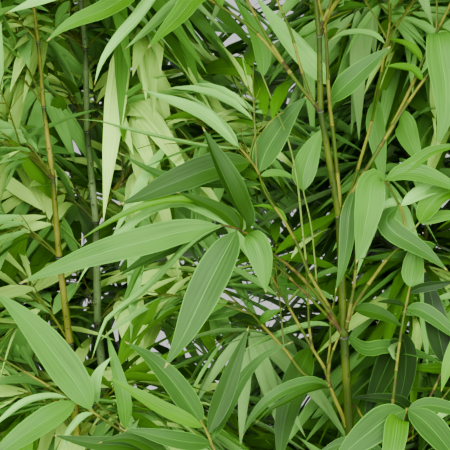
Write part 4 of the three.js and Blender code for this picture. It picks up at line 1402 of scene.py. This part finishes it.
def soil_material():
    """Potting soil, damp below and dry on top: a dark crumb of 2 to 6 mm with pale dry crumbs."""
    s = bpy.context.scene.bamboo_pot
    material, tree, shader = surface("potting_soil_damp", 0.95, 0.2)
    place = place_of(tree)
    crumb = add(tree, "ShaderNodeTexVoronoi", {"Vector": place, "Scale": 260}).outputs["Distance"]
    crumbs = mixed(tree, bands(tree, crumb, 0.1, 0.7), s.soil_dry, s.soil)
    dried = bands(tree, noise(tree, place, 60, 5), 0.35, 0.65)
    skin(tree, shader, mixed(tree, dried, s.soil, crumbs), crumb, 0.8, 0.002, invert=True)
    return material


def bark_chip_material():
    """Pine bark, chipped and composted: brown, fibrous, with paler broken edges about 2 mm across."""
    s = bpy.context.scene.bamboo_pot
    material, tree, shader = surface("pine_bark_chipped", 0.9, 0.25)
    grain = noise(tree, place_of(tree), 230, 3)
    broken = mixed(tree, bands(tree, grain, 0.35, 0.7), toned(s.bark, 0.45), s.bark)
    skin(tree, shader, broken, grain, 0.5, 0.001)
    return material


def floor_material():
    """Studio floor, matt and pale, with a faint wide unevenness of its paint."""
    s = bpy.context.scene.bamboo_stage
    material, tree, shader = surface("studio_floor_painted", 0.9, 0.2)
    cloud = noise(tree, place_of(tree), 0.5, 1)
    painted = mixed(tree, bands(tree, cloud, 0, 1), toned(s.floor, 0.985), s.floor)
    skin(tree, shader, painted, cloud, 0, 0.001)
    return material


# Pieces


def rounded(out, up, reach, start, end):
    """A round edge about its middle, at even steps between two angles: radii and heights."""
    turns = np.radians(np.linspace(start, end, ROUND_STEPS))
    return [(out + reach * math.cos(turn), up + reach * math.sin(turn)) for turn in turns]


def pot_profile(s):
    """The pot's outside from its foot up, its rim, and its inside down to the floor: radii and heights."""
    slope = (s.rim - RIM_LEDGE - s.foot) / s.height
    band_foot = s.height - s.band
    wall = [s.foot + slope * height for height in (band_foot, s.height, POT_FLOOR)]
    ledge = wall[0] + RIM_LEDGE - LEDGE_ROUND
    rim_middle = s.height - RIM_ROUND
    inner_rim = wall[1] - WALL
    inner_floor = wall[2] - WALL
    return [
        *rounded(s.foot - FOOT_ROUND, FOOT_ROUND, FOOT_ROUND, -90, 0)[1:],
        (wall[0], band_foot),
        *rounded(ledge, band_foot + LEDGE_ROUND, LEDGE_ROUND, -90, 0),
        *rounded(s.rim - RIM_ROUND, rim_middle, RIM_ROUND, 0, 90),
        *rounded(inner_rim + RIM_ROUND, rim_middle, RIM_ROUND, 90, 180),
        *rounded(inner_floor - FLOOR_ROUND, POT_FLOOR + FLOOR_ROUND, FLOOR_ROUND, 0, -90),
    ]


class BAMBOO_OT_pot(Operator):
    """Turns the clay pot up from its foot, with a band under a rounded rim, and hollows it"""

    bl_idname = "bamboo.pot"
    bl_label = "Pot"

    def execute(self, context):
        s = context.scene.bamboo_pot
        deselect()
        radius, height = s.foot - FOOT_ROUND, 0
        bpy.ops.mesh.primitive_circle_add(vertices=POT_SIDES, radius=radius, fill_type="NGON",
                                          location=(0, 0, 0))
        pot = context.object
        bpy.ops.object.mode_set(mode="EDIT")
        bpy.ops.mesh.select_all(action="SELECT")
        for next_radius, next_height in pot_profile(s):
            rise = (0, 0, next_height - height)
            bpy.ops.mesh.extrude_region_move(TRANSFORM_OT_translate={"value": rise})
            share = next_radius / radius
            bpy.ops.transform.resize(value=(share, share, 1), center_override=(0, 0, next_height))
            radius, height = next_radius, next_height
        face_outwards(pot)
        finish_piece(pot, "clay_pot", ["pot"], [clay_material()], angle=35)
        return {"FINISHED"}


class BAMBOO_OT_soil(Operator):
    """Heaps the potting soil in the pot and scatters bark chips on it"""

    bl_idname = "bamboo.soil"
    bl_label = "Soil"

    def execute(self, context):
        radius = SOIL_HIGH.x - SOIL_GAP
        deselect()
        bpy.ops.mesh.primitive_uv_sphere_add(segments=SOIL_SIDES, ring_count=SOIL_SIDES, radius=1)
        soil = context.object
        place = np.empty(len(soil.data.vertices) * 3)
        soil.data.vertices.foreach_get("co", place)
        place = place.reshape(-1, 3)
        # The upper half of the ball is laid flat as the top of the soil, and the lower half as its foot.
        share = 1 - abs(90 - np.degrees(np.arccos(np.clip(place[:, 2], -1, 1)))) / 90
        turn = np.arctan2(place[:, 1], place[:, 0])
        top = place[:, 2] >= -TINY
        out = np.where(top, radius, radius - SOIL_TAPER) * share
        place[:, 0], place[:, 1] = out * np.cos(turn), out * np.sin(turn)
        height = soil_height(place[:, 0] / MM, place[:, 1] / MM) * MM
        place[:, 2] = np.where(top, height, SOIL_LOW.z)
        soil.data.vertices.foreach_set("co", place.ravel())
        soil.data.update()
        face_outwards(soil)
        finish_piece(soil, "potting_soil", ["soil"], [soil_material()], angle=60)
        chips = scattered_chips(chip_form()).piece("bark_chips")
        finish_piece(chips, "bark_chips", [], [bark_chip_material()], angle=30)
        return {"FINISHED"}


def soil_height(x, y):
    """The height of the soil at a place: level, with low lumps, and never above the solid's top.

    The lumps are waves from 120 mm down to 9 mm long, and the shorter they are, the lower."""
    wide = np.sin(x * 0.061 + 1.3) * np.cos(y * 0.052) + np.sin(x * 0.13 - y * 0.11 + 2)
    middling = 0.6 * np.sin(x * 0.29 + 0.7) * np.sin(y * 0.31)
    fine = 0.35 * np.sin(x * 0.71) * np.cos(y * 0.67 + 1)
    return SOIL_TOP - SOIL_SINK + (wide + middling + fine)


def chip_form():
    """One bark chip, a cube with broken edges, as arrays."""
    deselect()
    bpy.ops.mesh.primitive_cube_add(size=1)
    chip = bpy.context.object
    bpy.ops.object.mode_set(mode="EDIT")
    bpy.ops.mesh.bevel(offset=CHIP_BEVEL, segments=1, affect="EDGES")
    bpy.ops.object.mode_set(mode="OBJECT")
    form = template_of(chip)
    bpy.data.objects.remove(chip)
    return form


def scattered_chips(form):
    """A heap of bark chips on the soil, clear of the canes, each with its own size, tilt and warp."""
    between, heap = seeded(CHIP_SEED), Heap()
    for _ in range(CHIPS):
        reach, turn = CHIP_REACH * math.sqrt(between(0, 1)), between(0, 360)
        at = level(turn) * reach
        if any(np.hypot(at[0] - c["foot"][0], at[1] - c["foot"][1]) < CHIP_CLEAR for c in CANES):
            continue
        at[2] = soil_height(at[0], at[1]) + CHIP_LIFT
        sizes = between(*CHIP_LONG), between(*CHIP_WIDE), between(*CHIP_THICK)
        x = unit(level(between(0, 360)) + UP * between(*CHIP_TILT))
        z = unit(np.cross(x, np.cross(UP, x)))
        y = np.cross(z, x)
        warp = 1 + CHIP_WARP * np.sin(form["co"][:, :1] * CHIP_WAVES + between(*CHIP_WAVE_START))
        local = form["co"] * sizes * warp
        places = at + local[:, :1] * x + local[:, 1:2] * y + local[:, 2:] * z
        heap.add(places, form["corners"], form["counts"], np.zeros(len(form["counts"])), form["uvs"])
    return heap


def template_of(piece):
    """A modelled shape as arrays, to be copied: places, corners of faces, and their map."""
    mesh = piece.data
    co = np.empty(len(mesh.vertices) * 3)
    mesh.vertices.foreach_get("co", co)
    corners = np.empty(len(mesh.loops), np.int32)
    mesh.loops.foreach_get("vertex_index", corners)
    counts = np.array([face.loop_total for face in mesh.polygons])
    uvs = np.empty(len(mesh.loops) * 2)
    mesh.uv_layers[0].data.foreach_get("uv", uvs)
    slots = np.array([face.material_index for face in mesh.polygons])
    return {"co": co.reshape(-1, 3), "corners": corners, "counts": counts,
            "uvs": uvs.reshape(-1, 2), "slots": slots}


class BAMBOO_OT_canes(Operator):
    """Draws the six canes, ring by ring, with a ridge, a scar and a waxy ring at each node"""

    bl_idname = "bamboo.canes"
    bl_label = "Canes"

    def execute(self, context):
        sides = context.scene.bamboo_canes.sides
        for cane in CANES:
            name = cane["name"]
            line, radii, slots, runs = cane_rings(name)
            piece = draw_limb(line, radii, sides, slots, runs, cane_materials(CANE_AGES.get(name, "grown")))
            finish_piece(piece, f"cane_{name}", [f"culm_{name}"], [], angle=LIMB_ANGLE)
        return {"FINISHED"}


# The relief of a node, ring by ring: millimetres above it, the radius as a share of the cane's, and the
# finish of the step that follows.
NODE_RELIEF = [
    (-9.0, 1.0, 0), (-4.2, 1.03, 0), (-2.2, 1.05, 0), (-1.3, 1.07, 1), (-0.6, 1.14, 2), (-0.1, 1.24, 2),
    (0.45, 1.2, 2), (0.7, 1.05, 0), (1.8, 1.1, 0), (3.0, 1.15, 0), (4.4, 1.08, 0), (7.0, 1.0, 0),
]
# How deep a cane is sunk, how much its foot swells and how high that ends, and how its relief shrinks where
# the cane is thin or its internodes are short.
CANE_SUNK = 6
CANE_SWELL = 1.18
SWELL_END = 14
LEAST_RELIEF = 0.5
RELIEF_RADIUS = 9
RELIEF_ROOM = 22
WAIST = 0.985
# The share of its internode that each ring is at: at the foot, just above a node, further up and at the tip,
# and how it changes with each millimetre below or above a node.
FOOT_RUNS = (0.1, 0.3)
NODE_RUN = 0.02
WAIST_RUN = 0.35
TIP_RUN = 0.7
RUN_BELOW = 0.012
RUN_ABOVE = 0.01


def cane_rings(name):
    """The rings of a cane: places, radii, the finish of each step, and its share of its internode."""
    nodes = cane_nodes(name)
    line, radii, slots, runs = [], [], [], []

    def ring(at, radius, slot, run):
        line.append(at)
        radii.append(radius)
        slots.append(slot)
        runs.append(run)

    foot, radius, direction = nodes[0]
    ring(foot - UP * CANE_SUNK, radius * CANE_SWELL, 0, FOOT_RUNS[0])
    ring(foot + direction * SWELL_END, radius, 0, FOOT_RUNS[1])
    for i in range(1, INTERNODES):
        at, radius, direction = nodes[i]
        behind = nodes[i - 1][2]
        room = min(np.linalg.norm(at - nodes[i - 1][0]), np.linalg.norm(nodes[i + 1][0] - at))
        scale = min(1, LEAST_RELIEF + radius / RELIEF_RADIUS, room / RELIEF_ROOM)
        for above, share, slot in NODE_RELIEF:
            way = direction if above > 0 else behind
            run = 1 + above * RUN_BELOW if above < 0 else NODE_RUN + above * RUN_ABOVE
            ring(at + way * above * scale, radius * share, slot, run)
        ring(at + direction * min(room / 2, RELIEF_ROOM), radius * WAIST, 0, WAIST_RUN)
    at, radius, _ = nodes[INTERNODES]
    ring(at, radius, 0, TIP_RUN)
    return np.array(line), np.array(radii), slots[:-1], np.array(runs)


def jointed(line, thick, thin, spacing, look):
    """A branch's rings and finishes: it tapers, and at even steps it has a joint with a ridge and a scar."""
    run = run_of(line)
    whole = run[-1]
    count = max(1, round(whole / spacing))
    nodes = [whole * (i + BEFORE_JOINT) / (count + AFTER_JOINTS) for i in range(count)]
    steps = np.linspace(0, whole, max(LEAST_RINGS, int(whole / RING_STEP)))
    free = [one for one in steps if all(abs(one - node) > JOINT_CLEAR for node in nodes)]
    # Dry scales wrap the foot of a branch and make it thicker.
    rings = [(one, 1 + SCALE_SWELL * math.exp(-one / SCALE_LENGTH), one < SCALE_END) for one in free]
    for node in nodes:
        rings += [(node + above, share, scarred) for above, share, scarred in JOINT_RINGS
                  if 0 < node + above < whole]
    rings.sort()
    place = np.array([ring[0] for ring in rings])
    points = np.stack([np.interp(place, run, line[:, k]) for k in range(3)], axis=1)
    radii = (thick + (thin - thick) * place / whole) * np.array([ring[1] for ring in rings])
    turns = np.searchsorted(nodes, place + PAST_JOINT)
    looks = BRANCH_LOOKS.get(look, (look, look))
    slots = [BRANCH_SLOTS["joint" if scarred else looks[turn % 2]]
             for (_, _, scarred), turn in zip(rings, turns)]
    return points, radii, slots[:-1], place / RUN_UNIT


class BAMBOO_OT_branches(Operator):
    """Draws the branches of the front cane along the measured lines, each with its finer shoots"""

    bl_idname = "bamboo.branches"
    bl_label = "Branches"

    def execute(self, context):
        sides = context.scene.bamboo_branches.sides
        for name, limbs in shoots().items():
            pieces = []
            for look, thick, thin, line, joints in limbs:
                spacing = max(SHORTEST_JOINT, run_of(line)[-1] / max(1, joints - 1))
                points, radii, slots, runs = jointed(line, thick, thin, spacing, look)
                pieces.append(draw_limb(points, radii, sides, slots, runs, branch_materials()))
            finish_piece(join(pieces), f"branch_{name}", [f"bough_{name}"], [], angle=LIMB_ANGLE)
        return {"FINISHED"}


# The parts of a blade after its upper skin, in the order of a kind in LEAF_KINDS, and the dried tip.
LOWER_SKIN, VEIN, DRIED_TIP = 1, 2, 3
# The waves of a leaf's edge over its length, how the size of the wave shifts them, and how far the streaks of
# one leaf are from those of the next.
LEAF_RIPPLES = 9
RIPPLE_SHIFT = 40
STREAK_STEPS = (2.7, 1.9)


def outline(share):
    return np.interp(share, *zip(*OUTLINE))


def blade(columns, rows, thickness):
    """Models one leaf, flat, from a grid: a foot at y 0, a tip at y 1, and two skins that meet at the edges.

    Its faces are marked as upper skin, lower skin, vein or tip."""
    deselect()
    bpy.ops.mesh.primitive_grid_add(x_subdivisions=len(columns) - 1, y_subdivisions=len(rows) - 1, size=2)
    leaf = bpy.context.object
    for vertex in leaf.data.vertices:
        column = round((vertex.co.x + 1) / 2 * (len(columns) - 1))
        row = round((vertex.co.y + 1) / 2 * (len(rows) - 1))
        vertex.co = (columns[column] * outline(rows[row]), rows[row], 0)
    uv = leaf.data.uv_layers[0].data
    for loop in leaf.data.loops:
        row = round(uv[loop.index].uv[1] * (len(rows) - 1))
        column = round(uv[loop.index].uv[0] * (len(columns) - 1))
        uv[loop.index].uv = (0.5 + columns[column] / 2, rows[row])
    bpy.ops.object.mode_set(mode="EDIT")
    bpy.ops.mesh.select_all(action="SELECT")
    bpy.ops.mesh.duplicate()
    bpy.ops.mesh.flip_normals()
    bpy.ops.object.mode_set(mode="OBJECT")
    lowered = set()
    for face in leaf.data.polygons:
        if face.select:
            face.material_index = LOWER_SKIN
            lowered.update(face.vertices)
    for i in lowered:
        x, y, _ = leaf.data.vertices[i].co
        wide = max(outline(y), TINY)
        leaf.data.vertices[i].co.z = -thickness * math.sqrt(outline(y)) * (1 - (x / wide) ** 2)
    for face in leaf.data.polygons:
        corners = [leaf.data.vertices[i].co for i in face.vertices]
        across_blade = [abs(co.x) / max(outline(co.y), TINY) for co in corners]
        if max(across_blade) < MIDRIB_SHARE or min(across_blade) > MARGIN_SHARE:
            face.material_index = VEIN
        elif face.center.y > TIP_SHARE:
            face.material_index = DRIED_TIP
    activate(leaf)
    bpy.ops.object.mode_set(mode="EDIT")
    bpy.ops.mesh.select_all(action="SELECT")
    bpy.ops.mesh.remove_doubles(threshold=SAME_PLACE)
    bpy.ops.object.mode_set(mode="OBJECT")
    form = template_of(leaf)
    bpy.data.objects.remove(leaf)
    form["row"] = np.array([np.argmin(abs(np.array(rows) - y)) for y in form["co"][:, 1]])
    form["rows"] = np.array(rows)
    return form


def lay_blades(form, centre, over, twist, width, fold, wave):
    """Places copies of a blade on their midrib lines: each line is one place for each row of the blade."""
    along = unit(np.gradient(centre, form["rows"], axis=1))
    normal = unit(over[:, None] - along * np.sum(over[:, None] * along, axis=2, keepdims=True))
    side = np.cross(along, normal)
    c, s = np.cos(twist)[..., None], np.sin(twist)[..., None]
    normal, side = c * normal + s * side, c * side - s * normal
    row, x, z = form["row"], form["co"][:, 0], form["co"][:, 2]
    half = width[:, None] / 2
    rise = abs(x) * half * np.sin(fold)[:, None] + z
    ripples = np.sin(LEAF_RIPPLES * form["co"][:, 1] + RIPPLE_SHIFT * wave[:, None])
    rise = rise + wave[:, None] * x * half * ripples
    return (centre[:, row] + side[:, row] * (x * half * np.cos(fold)[:, None])[..., None]
            + normal[:, row] * rise[..., None])


def add_blades(heap, form, places, kinds):
    """Adds the placed blades to a heap, each with the skins of its kind."""
    n, m, _ = places.shape
    table = np.array([[LEAF_SLOTS.index(part) for part in (*LEAF_KINDS[kind], "tip")] for kind in kinds])
    corners = (form["corners"][None] + (np.arange(n) * m)[:, None]).ravel()
    slots = table[:, form["slots"]].ravel()
    # Each leaf has its own stretch of the streaks.
    uvs = form["uvs"][None] + np.outer(np.arange(n), STREAK_STEPS)[:, None]
    heap.add(places.reshape(-1, 3), corners, np.tile(form["counts"], n), slots, uvs.reshape(-1, 2))


# Grids of a measured leaf and of a leaf by rule: shares of its half width, and shares of its length.
NEAR_COLUMNS = (-1, -0.94, -0.64, -0.32, -0.025, 0.025, 0.32, 0.64, 0.94, 1)
NEAR_ROWS = (0, 0.025, 0.05, 0.1, 0.16, 0.23, 0.3, 0.38, 0.46, 0.54, 0.62, 0.7, 0.78, 0.85, 0.91, 0.955,
             0.98, 1)
FAR_COLUMNS = (-1, 0, 1)
FAR_ROWS = (0, 0.07, 0.23, 0.46, 0.7, 0.89, 1)
# A measured leaf faces the front and up, and is turned, twisted and waved a little more by chance. One that
# is nearly edge on is drawn no wider than this share allows.
FRONT_AND_UP = np.array([0.0, -0.8, 0.6])
NEAR_TURN = (-8, 8)
NEAR_TWIST = (-14, 14)
NEAR_WAVE = (0.02, 0.06)
LEAST_SHOWN = 0.4


class BAMBOO_OT_near_leaves(Operator):
    """Lays the measured leaves of the front cane, one by one, with their midribs and dried tips"""

    bl_idname = "bamboo.near_leaves"
    bl_label = "Measured leaves"

    def execute(self, context):
        s = context.scene.bamboo_leaves
        form = blade(NEAR_COLUMNS, NEAR_ROWS, s.thickness / MM)
        heap, between = Heap(), seeded(NEAR_SEED)
        for name, leaves in NEAR_LEAVES.items():
            rows = []
            for kind, wide, turn, folded, *places in leaves:
                dense, at = leaf_line(name, places), np.linspace(0, 1, LEAF_PLACES)
                midrib = np.stack([np.interp(form["rows"], at, dense[:, k]) for k in range(3)], axis=1)
                twist = np.radians(turn + between(*NEAR_TURN) + form["rows"] * between(*NEAR_TWIST))
                fold = math.radians(folded)
                shown = max(LEAST_SHOWN, abs(math.cos(math.radians(turn))) * math.cos(fold))
                width = wide * WINDOW_WIDTH / WINDOW_STEPS / shown
                rows.append((midrib, FRONT_AND_UP, twist, width, fold, between(*NEAR_WAVE), kind))
            *values, kinds = arrays_of(rows)
            add_blades(heap, form, lay_blades(form, *values), kinds)
        replaced = [f"leaves_{name}" for name in BRANCHES]
        finish_piece(heap.piece("leaves_near"), "leaves_near", replaced, leaf_materials(), angle=65)
        return {"FINISHED"}


def kept(lines, half, mass):
    """The lines that fit, each but its first place."""
    if not lines:
        return []
    places = np.array([line[1:] for line in lines])
    good = fits(places, np.full(places.shape[:2], half), mass)
    return [line for line, fine in zip(lines, good) if fine]


def twigs_of(mass, s, between):
    """Twigs that leave the stem all round it, shorter towards its tip."""
    lines = []
    for i in range(s.twigs):
        share = FIRST_TWIG + (LAST_TWIG - FIRST_TWIG) * i / max(1, s.twigs - 1)
        start, along = on_line(mass["stem"], share)
        reach = FOOT_TWIG - (FOOT_TWIG - TIP_TWIG) * share
        length = TWIG_LENGTH * between(*TWIG_REACH) * mass["size"] * reach
        turn = i * GOLDEN_TURN + between(*TWIG_TURN)
        direction = leaning(along, turn, TWIG_SPREAD * between(*TWIG_OPENING))
        lines.append(stem_line(start, direction, length, TWIG_DROOP, TWIG_PLACES))
    return lines


def sprigs_of(line, count, first, between):
    """Short sprigs along a twig or stem. The last one goes on from its tip."""
    lines = []
    for k in range(count):
        start, along = on_line(line, min(LAST_SPRIG, first + (1 - first) * (k + 1) / count))
        last = k == count - 1
        turn = k * GOLDEN_TURN + between(*SPRIG_TURN)
        direction = leaning(along, turn, between(*(TIP_SPREAD if last else SPRIG_SPREAD)))
        direction = unit(direction - UP * SPRIG_DIP)
        length = between(*(TIP_LENGTH if last else SPRIG_LENGTH))
        lines.append(stem_line(start, direction, length, SPRIG_DROOP, SPRIG_PLACES))
    return lines


def kind_shares(right, down, depth):
    """How often each kind of leaf comes in a spray that the window shows."""
    # The sprays are dealt kinds by place, as painted light and shade: sunlit kinds at the left of the window,
    # darker kinds low down.
    if depth > LEFT_DEPTH:
        return KIND_SHARES
    if right < SUNNY_END:
        return SUNNY_SHARES
    if down > LOW_TOP:
        return LOW_SHADED_SHARES
    return LEFT_SHARES if right < LEFT_END else RIGHT_SHARES


def fan_of(line, s, between):
    """The leaves of a sprig, from its tip back.

    Each has a foot, direction, face, length, width, droop, twist, fold and kind."""
    right, down, depth = (float(value[0]) for value in on_glass(line[-1:]))
    shown = all(-WINDOW_EDGE < value < WINDOW_STEPS + WINDOW_EDGE for value in (right, down))
    most = s.leaves_seen if shown else s.leaves
    shares = kind_shares(right, down, depth) if shown else KIND_SHARES
    draw = between(0, sum(shares.values()))
    kind = next(name for name, top in zip(shares, np.cumsum(list(shares.values()))) if draw <= top)
    along = unit(line[-1] - line[0])
    face = unit(UP - along * (UP @ along) + FACE_TILT * level(between(0, 360)))
    side = unit(np.cross(along, face))
    leaves = []
    for k in range(round(between(LEAST_LEAVES, most + LEAF_CHANCE))):
        start, _ = on_line(line, max(FOOT_LEAF, TIP_LEAF - LEAF_STEP * k))
        spread = math.radians(between(*(FAN if k else TIP_FAN)))
        aside = (1 if k % 2 else -1) * side * math.sin(spread)
        direction = unit(along * math.cos(spread) + aside - UP * between(*LEAF_DIP))
        length = s.length / MM * between(*LEAF_REACH) * (1 - LEAF_SHORTER * k)
        leaves.append((start, direction, unit(face - direction * (face @ direction)), length,
                       length * s.aspect * between(*LEAF_BREADTH), between(*LEAF_DROOP),
                       between(*LEAF_TWIST), between(*LEAF_FOLD), kind))
    return leaves


def arrays_of(leaves):
    """The values of all the leaves as arrays, one for each kind of value."""
    return [np.array(values) for values in zip(*leaves)]


def midribs(leaves, runs):
    """The midrib of each leaf at shares of its length: straight out, then drooping."""
    start, direction, _, length, _, droop, _, _, _ = arrays_of(leaves)
    reach = (length[:, None] * runs)[..., None]
    sag = (droop[:, None] * length[:, None] * runs**2)[..., None]
    return start[:, None] + direction[:, None] * reach - UP * sag


def leafy(sprigs, mass, s, between):
    """The leaves of all the sprigs that fit."""
    leaves = [leaf for line in sprigs for leaf in fan_of(line, s, between)]
    if not leaves:
        return []
    runs = np.array(LEAF_RUNS)
    _, _, _, _, width, _, _, _, _ = arrays_of(leaves)
    half = LEAF_ROOM * width[:, None] * outline(runs)
    good = fits(midribs(leaves, runs), half, mass)
    return [leaf for leaf, fine in zip(leaves, good) if fine]


def grow_mass(number, mass, s):
    """The twigs, sprigs and leaves of a mass, by the source's rule carried to finer twigs."""
    between = seeded(mass["seed"])
    twigs = kept(twigs_of(mass, s, between), TWIG_ROOM, number)
    count = s.stem_sprigs if mass["radius"][0] else BOUGH_SPRIGS
    found = sprigs_of(mass["stem"], count, STEM_SPRIG, between)
    for line in twigs:
        found += sprigs_of(line, s.sprigs, FIRST_SPRIG, between)
    sprigs = kept(found, SPRIG_ROOM, number)
    return twigs, sprigs, leafy(sprigs, number, s, between)


def grow_shoots(cane, s):
    """The thin leafy shoots that every upper node of a cane bears, by turns on either side of it."""
    between = seeded(SHOOT_SEED + CANES.index(cane))
    found = []
    for i in range(FIRST_SHOOT_NODE, INTERNODES):
        at, _, _ = cane_nodes(cane["name"])[i]
        _, down, _ = on_glass(at[None])
        hands = WINDOW_HANDS if -WINDOW_REACH < down[0] < WINDOW_STEPS + WINDOW_REACH else SHOOT_HANDS
        for hand in range(-hands, hands + 1):
            azimuth = cane["plane"] + 180 * (i % 2) + hand * between(*SHOOT_FAN) + between(*SHOOT_TURN)
            rise = math.radians(between(*SHOOT_RISE))
            direction = level(azimuth) * math.cos(rise) + UP * math.sin(rise)
            length = between(*SHOOT_LENGTH) * (FOOT_SHOOT - SHOOT_SHORTER * i)
            found.append(stem_line(at, direction, length, SHOOT_DROOP, SHOOT_PLACES))
    shoots_here = kept(found, SHOOT_ROOM, None)
    sprigs = []
    for line in shoots_here:
        sprigs += sprigs_of(line, s.sprigs, SHOOT_SPRIG, between)
    sprigs = kept(sprigs, SPRIG_ROOM, None)
    return shoots_here, sprigs, leafy(sprigs, None, s, between)


class BAMBOO_OT_foliage(Operator):
    """Grows the stems, twigs, sprigs and leaves of every mass by rule, joined cane by cane"""

    bl_idname = "bamboo.foliage"
    bl_label = "Foliage"

    def execute(self, context):
        s = context.scene.bamboo_leaves
        form = blade(FAR_COLUMNS, FAR_ROWS, s.thickness / MM)
        for cane in CANES:
            name = cane["name"]
            own = {number: mass for number, mass in enumerate(masses()) if mass["cane"] == name}
            grown = [grow_shoots(cane, s)] + [grow_mass(number, mass, s) for number, mass in own.items()]
            leaves = [leaf for _, _, found in grown for leaf in found]
            demand(leaves, f"no leaves grew on the {name} cane")
            replaced = [mass["name"] for mass in own.values() if mass["radius"][0]]
            piece = lay_leaves(form, leaves).piece("leaves")
            finish_piece(piece, f"leaves_{name}_cane", replaced, leaf_materials(), angle=65)
            twigs = thin_wood(grown)
            for material in branch_materials():
                twigs.data.materials.append(material)
            stems_here = [thick_stem(mass) for mass in own.values() if mass["radius"][0]]
            finish_piece(join([twigs, *stems_here]), f"twigs_{name}", [], [], angle=LIMB_ANGLE)
        return {"FINISHED"}


def lay_leaves(form, leaves):
    """The leaves by rule as a heap of blades on their drooping midribs."""
    _, _, face, _, width, _, twist, fold, kinds = arrays_of(leaves)
    twist = twist[:, None] * (FOOT_TWIST + form["rows"])
    wave = np.full(len(leaves), LEAF_WAVE)
    places = lay_blades(form, midribs(leaves, form["rows"]), face, twist, width, fold, wave)
    heap = Heap()
    add_blades(heap, form, places, kinds)
    return heap


def thin_wood(grown):
    """All the twigs and sprigs of a cane as one piece."""
    heap = Heap()
    for twigs, sprigs, _ in grown:
        for line in twigs:
            tube(heap, line, np.linspace(*TWIG_RADII, len(line)), TWIG_SIDES, BRANCH_SLOTS["twig"])
        for line in sprigs:
            tube(heap, line, np.linspace(*SPRIG_RADII, len(line)), SPRIG_SIDES, BRANCH_SLOTS["twig"])
    return heap.piece("twigs")


def thick_stem(mass):
    """The stem of a mass, with its joints."""
    line = smooth_line(mass["stem"], STEM_PLACES)
    points, radii, slots, runs = jointed(line, *mass["radius"], STEM_JOINTS, "olive")
    return draw_limb(points, radii, STEM_SIDES, slots, runs, branch_materials())


class BAMBOO_OT_stage(Operator):
    """Lays the floor, hangs the lights and sets the camera at the window's eye"""

    bl_idname = "bamboo.stage"
    bl_label = "Stage"

    def execute(self, context):
        s = context.scene.bamboo_stage
        deselect()
        bpy.ops.mesh.primitive_circle_add(vertices=FLOOR_SIDES, radius=FLOOR_RADIUS, fill_type="NGON",
                                          location=(0, 0, 0))
        floor = context.object
        floor.name = "floor"
        floor.data.materials.append(floor_material())

        world = bpy.data.worlds.new("soft_sky")
        context.scene.world = world
        world.use_nodes = True
        background = world.node_tree.nodes["Background"]
        background.inputs["Color"].default_value = rgba(s.sky)
        background.inputs["Strength"].default_value = s.sky_power

        target = seen(WINDOW_STEPS / 2, WINDOW_STEPS / 2, 0) * MM
        for name, (place, wide) in LAMPS.items():
            light = bpy.data.lights.new(name, "AREA")
            light.energy, light.size = getattr(s, f"{name}_power"), wide
            lamp = bpy.data.objects.new(name, light)
            context.scene.collection.objects.link(lamp)
            lamp.location = target + np.array(place)
            # A lamp shines along its own -Z.
            lamp.rotation_euler = Vector(-np.array(place)).to_track_quat("-Z", "Y").to_euler()

        eye, _, _ = window()
        data = bpy.data.cameras.new("camera")
        data.sensor_width = SENSOR_WIDTH
        data.lens = data.sensor_width * EYE_DISTANCE / WINDOW_WIDTH
        data.clip_start, data.clip_end = NEAREST_SEEN, FARTHEST_SEEN
        camera = bpy.data.objects.new("camera", data)
        context.scene.collection.objects.link(camera)
        camera.location = eye * MM
        camera.rotation_euler = (math.radians(90 - LOOK_DOWN), 0, 0)
        context.scene.camera = camera
        demand(context.scene.camera, "the stage has no camera")
        return {"FINISHED"}


GROUPS = {
    "bamboo_pot": PotSettings,
    "bamboo_canes": CaneSettings,
    "bamboo_branches": BranchSettings,
    "bamboo_leaves": LeafSettings,
    "bamboo_stage": StageSettings,
}
STEPS = (BAMBOO_OT_pot, BAMBOO_OT_soil, BAMBOO_OT_canes, BAMBOO_OT_branches, BAMBOO_OT_near_leaves,
         BAMBOO_OT_foliage, BAMBOO_OT_stage)


class BAMBOO_PT_panel(Panel):
    """Lists the sizes and colours, and the steps that make the pieces"""

    bl_idname = "BAMBOO_PT_panel"
    bl_label = "Potted bamboo"
    bl_space_type = "VIEW_3D"
    bl_region_type = "UI"
    bl_category = "Bamboo"

    def draw(self, context):
        for key in GROUPS:
            box = self.layout.box()
            group = getattr(context.scene, key)
            for name in group.bl_rna.properties.keys():
                if name not in {"rna_type", "name"}:
                    box.prop(group, name)
        for step in STEPS:
            self.layout.operator(step.bl_idname)


def register():
    for one in (*GROUPS.values(), *STEPS, BAMBOO_PT_panel):
        bpy.utils.register_class(one)
    for key, group in GROUPS.items():
        setattr(bpy.types.Scene, key, PointerProperty(type=group))


def unregister():
    for key in GROUPS:
        delattr(bpy.types.Scene, key)
    for one in reversed((*GROUPS.values(), *STEPS, BAMBOO_PT_panel)):
        bpy.utils.unregister_class(one)


def main():
    register()
    bpy.ops.bamboo.pot()
    bpy.ops.bamboo.soil()
    bpy.ops.bamboo.canes()
    bpy.ops.bamboo.branches()
    bpy.ops.bamboo.near_leaves()
    bpy.ops.bamboo.foliage()
    bpy.ops.bamboo.stage()


if __name__ == "__main__":
    main()
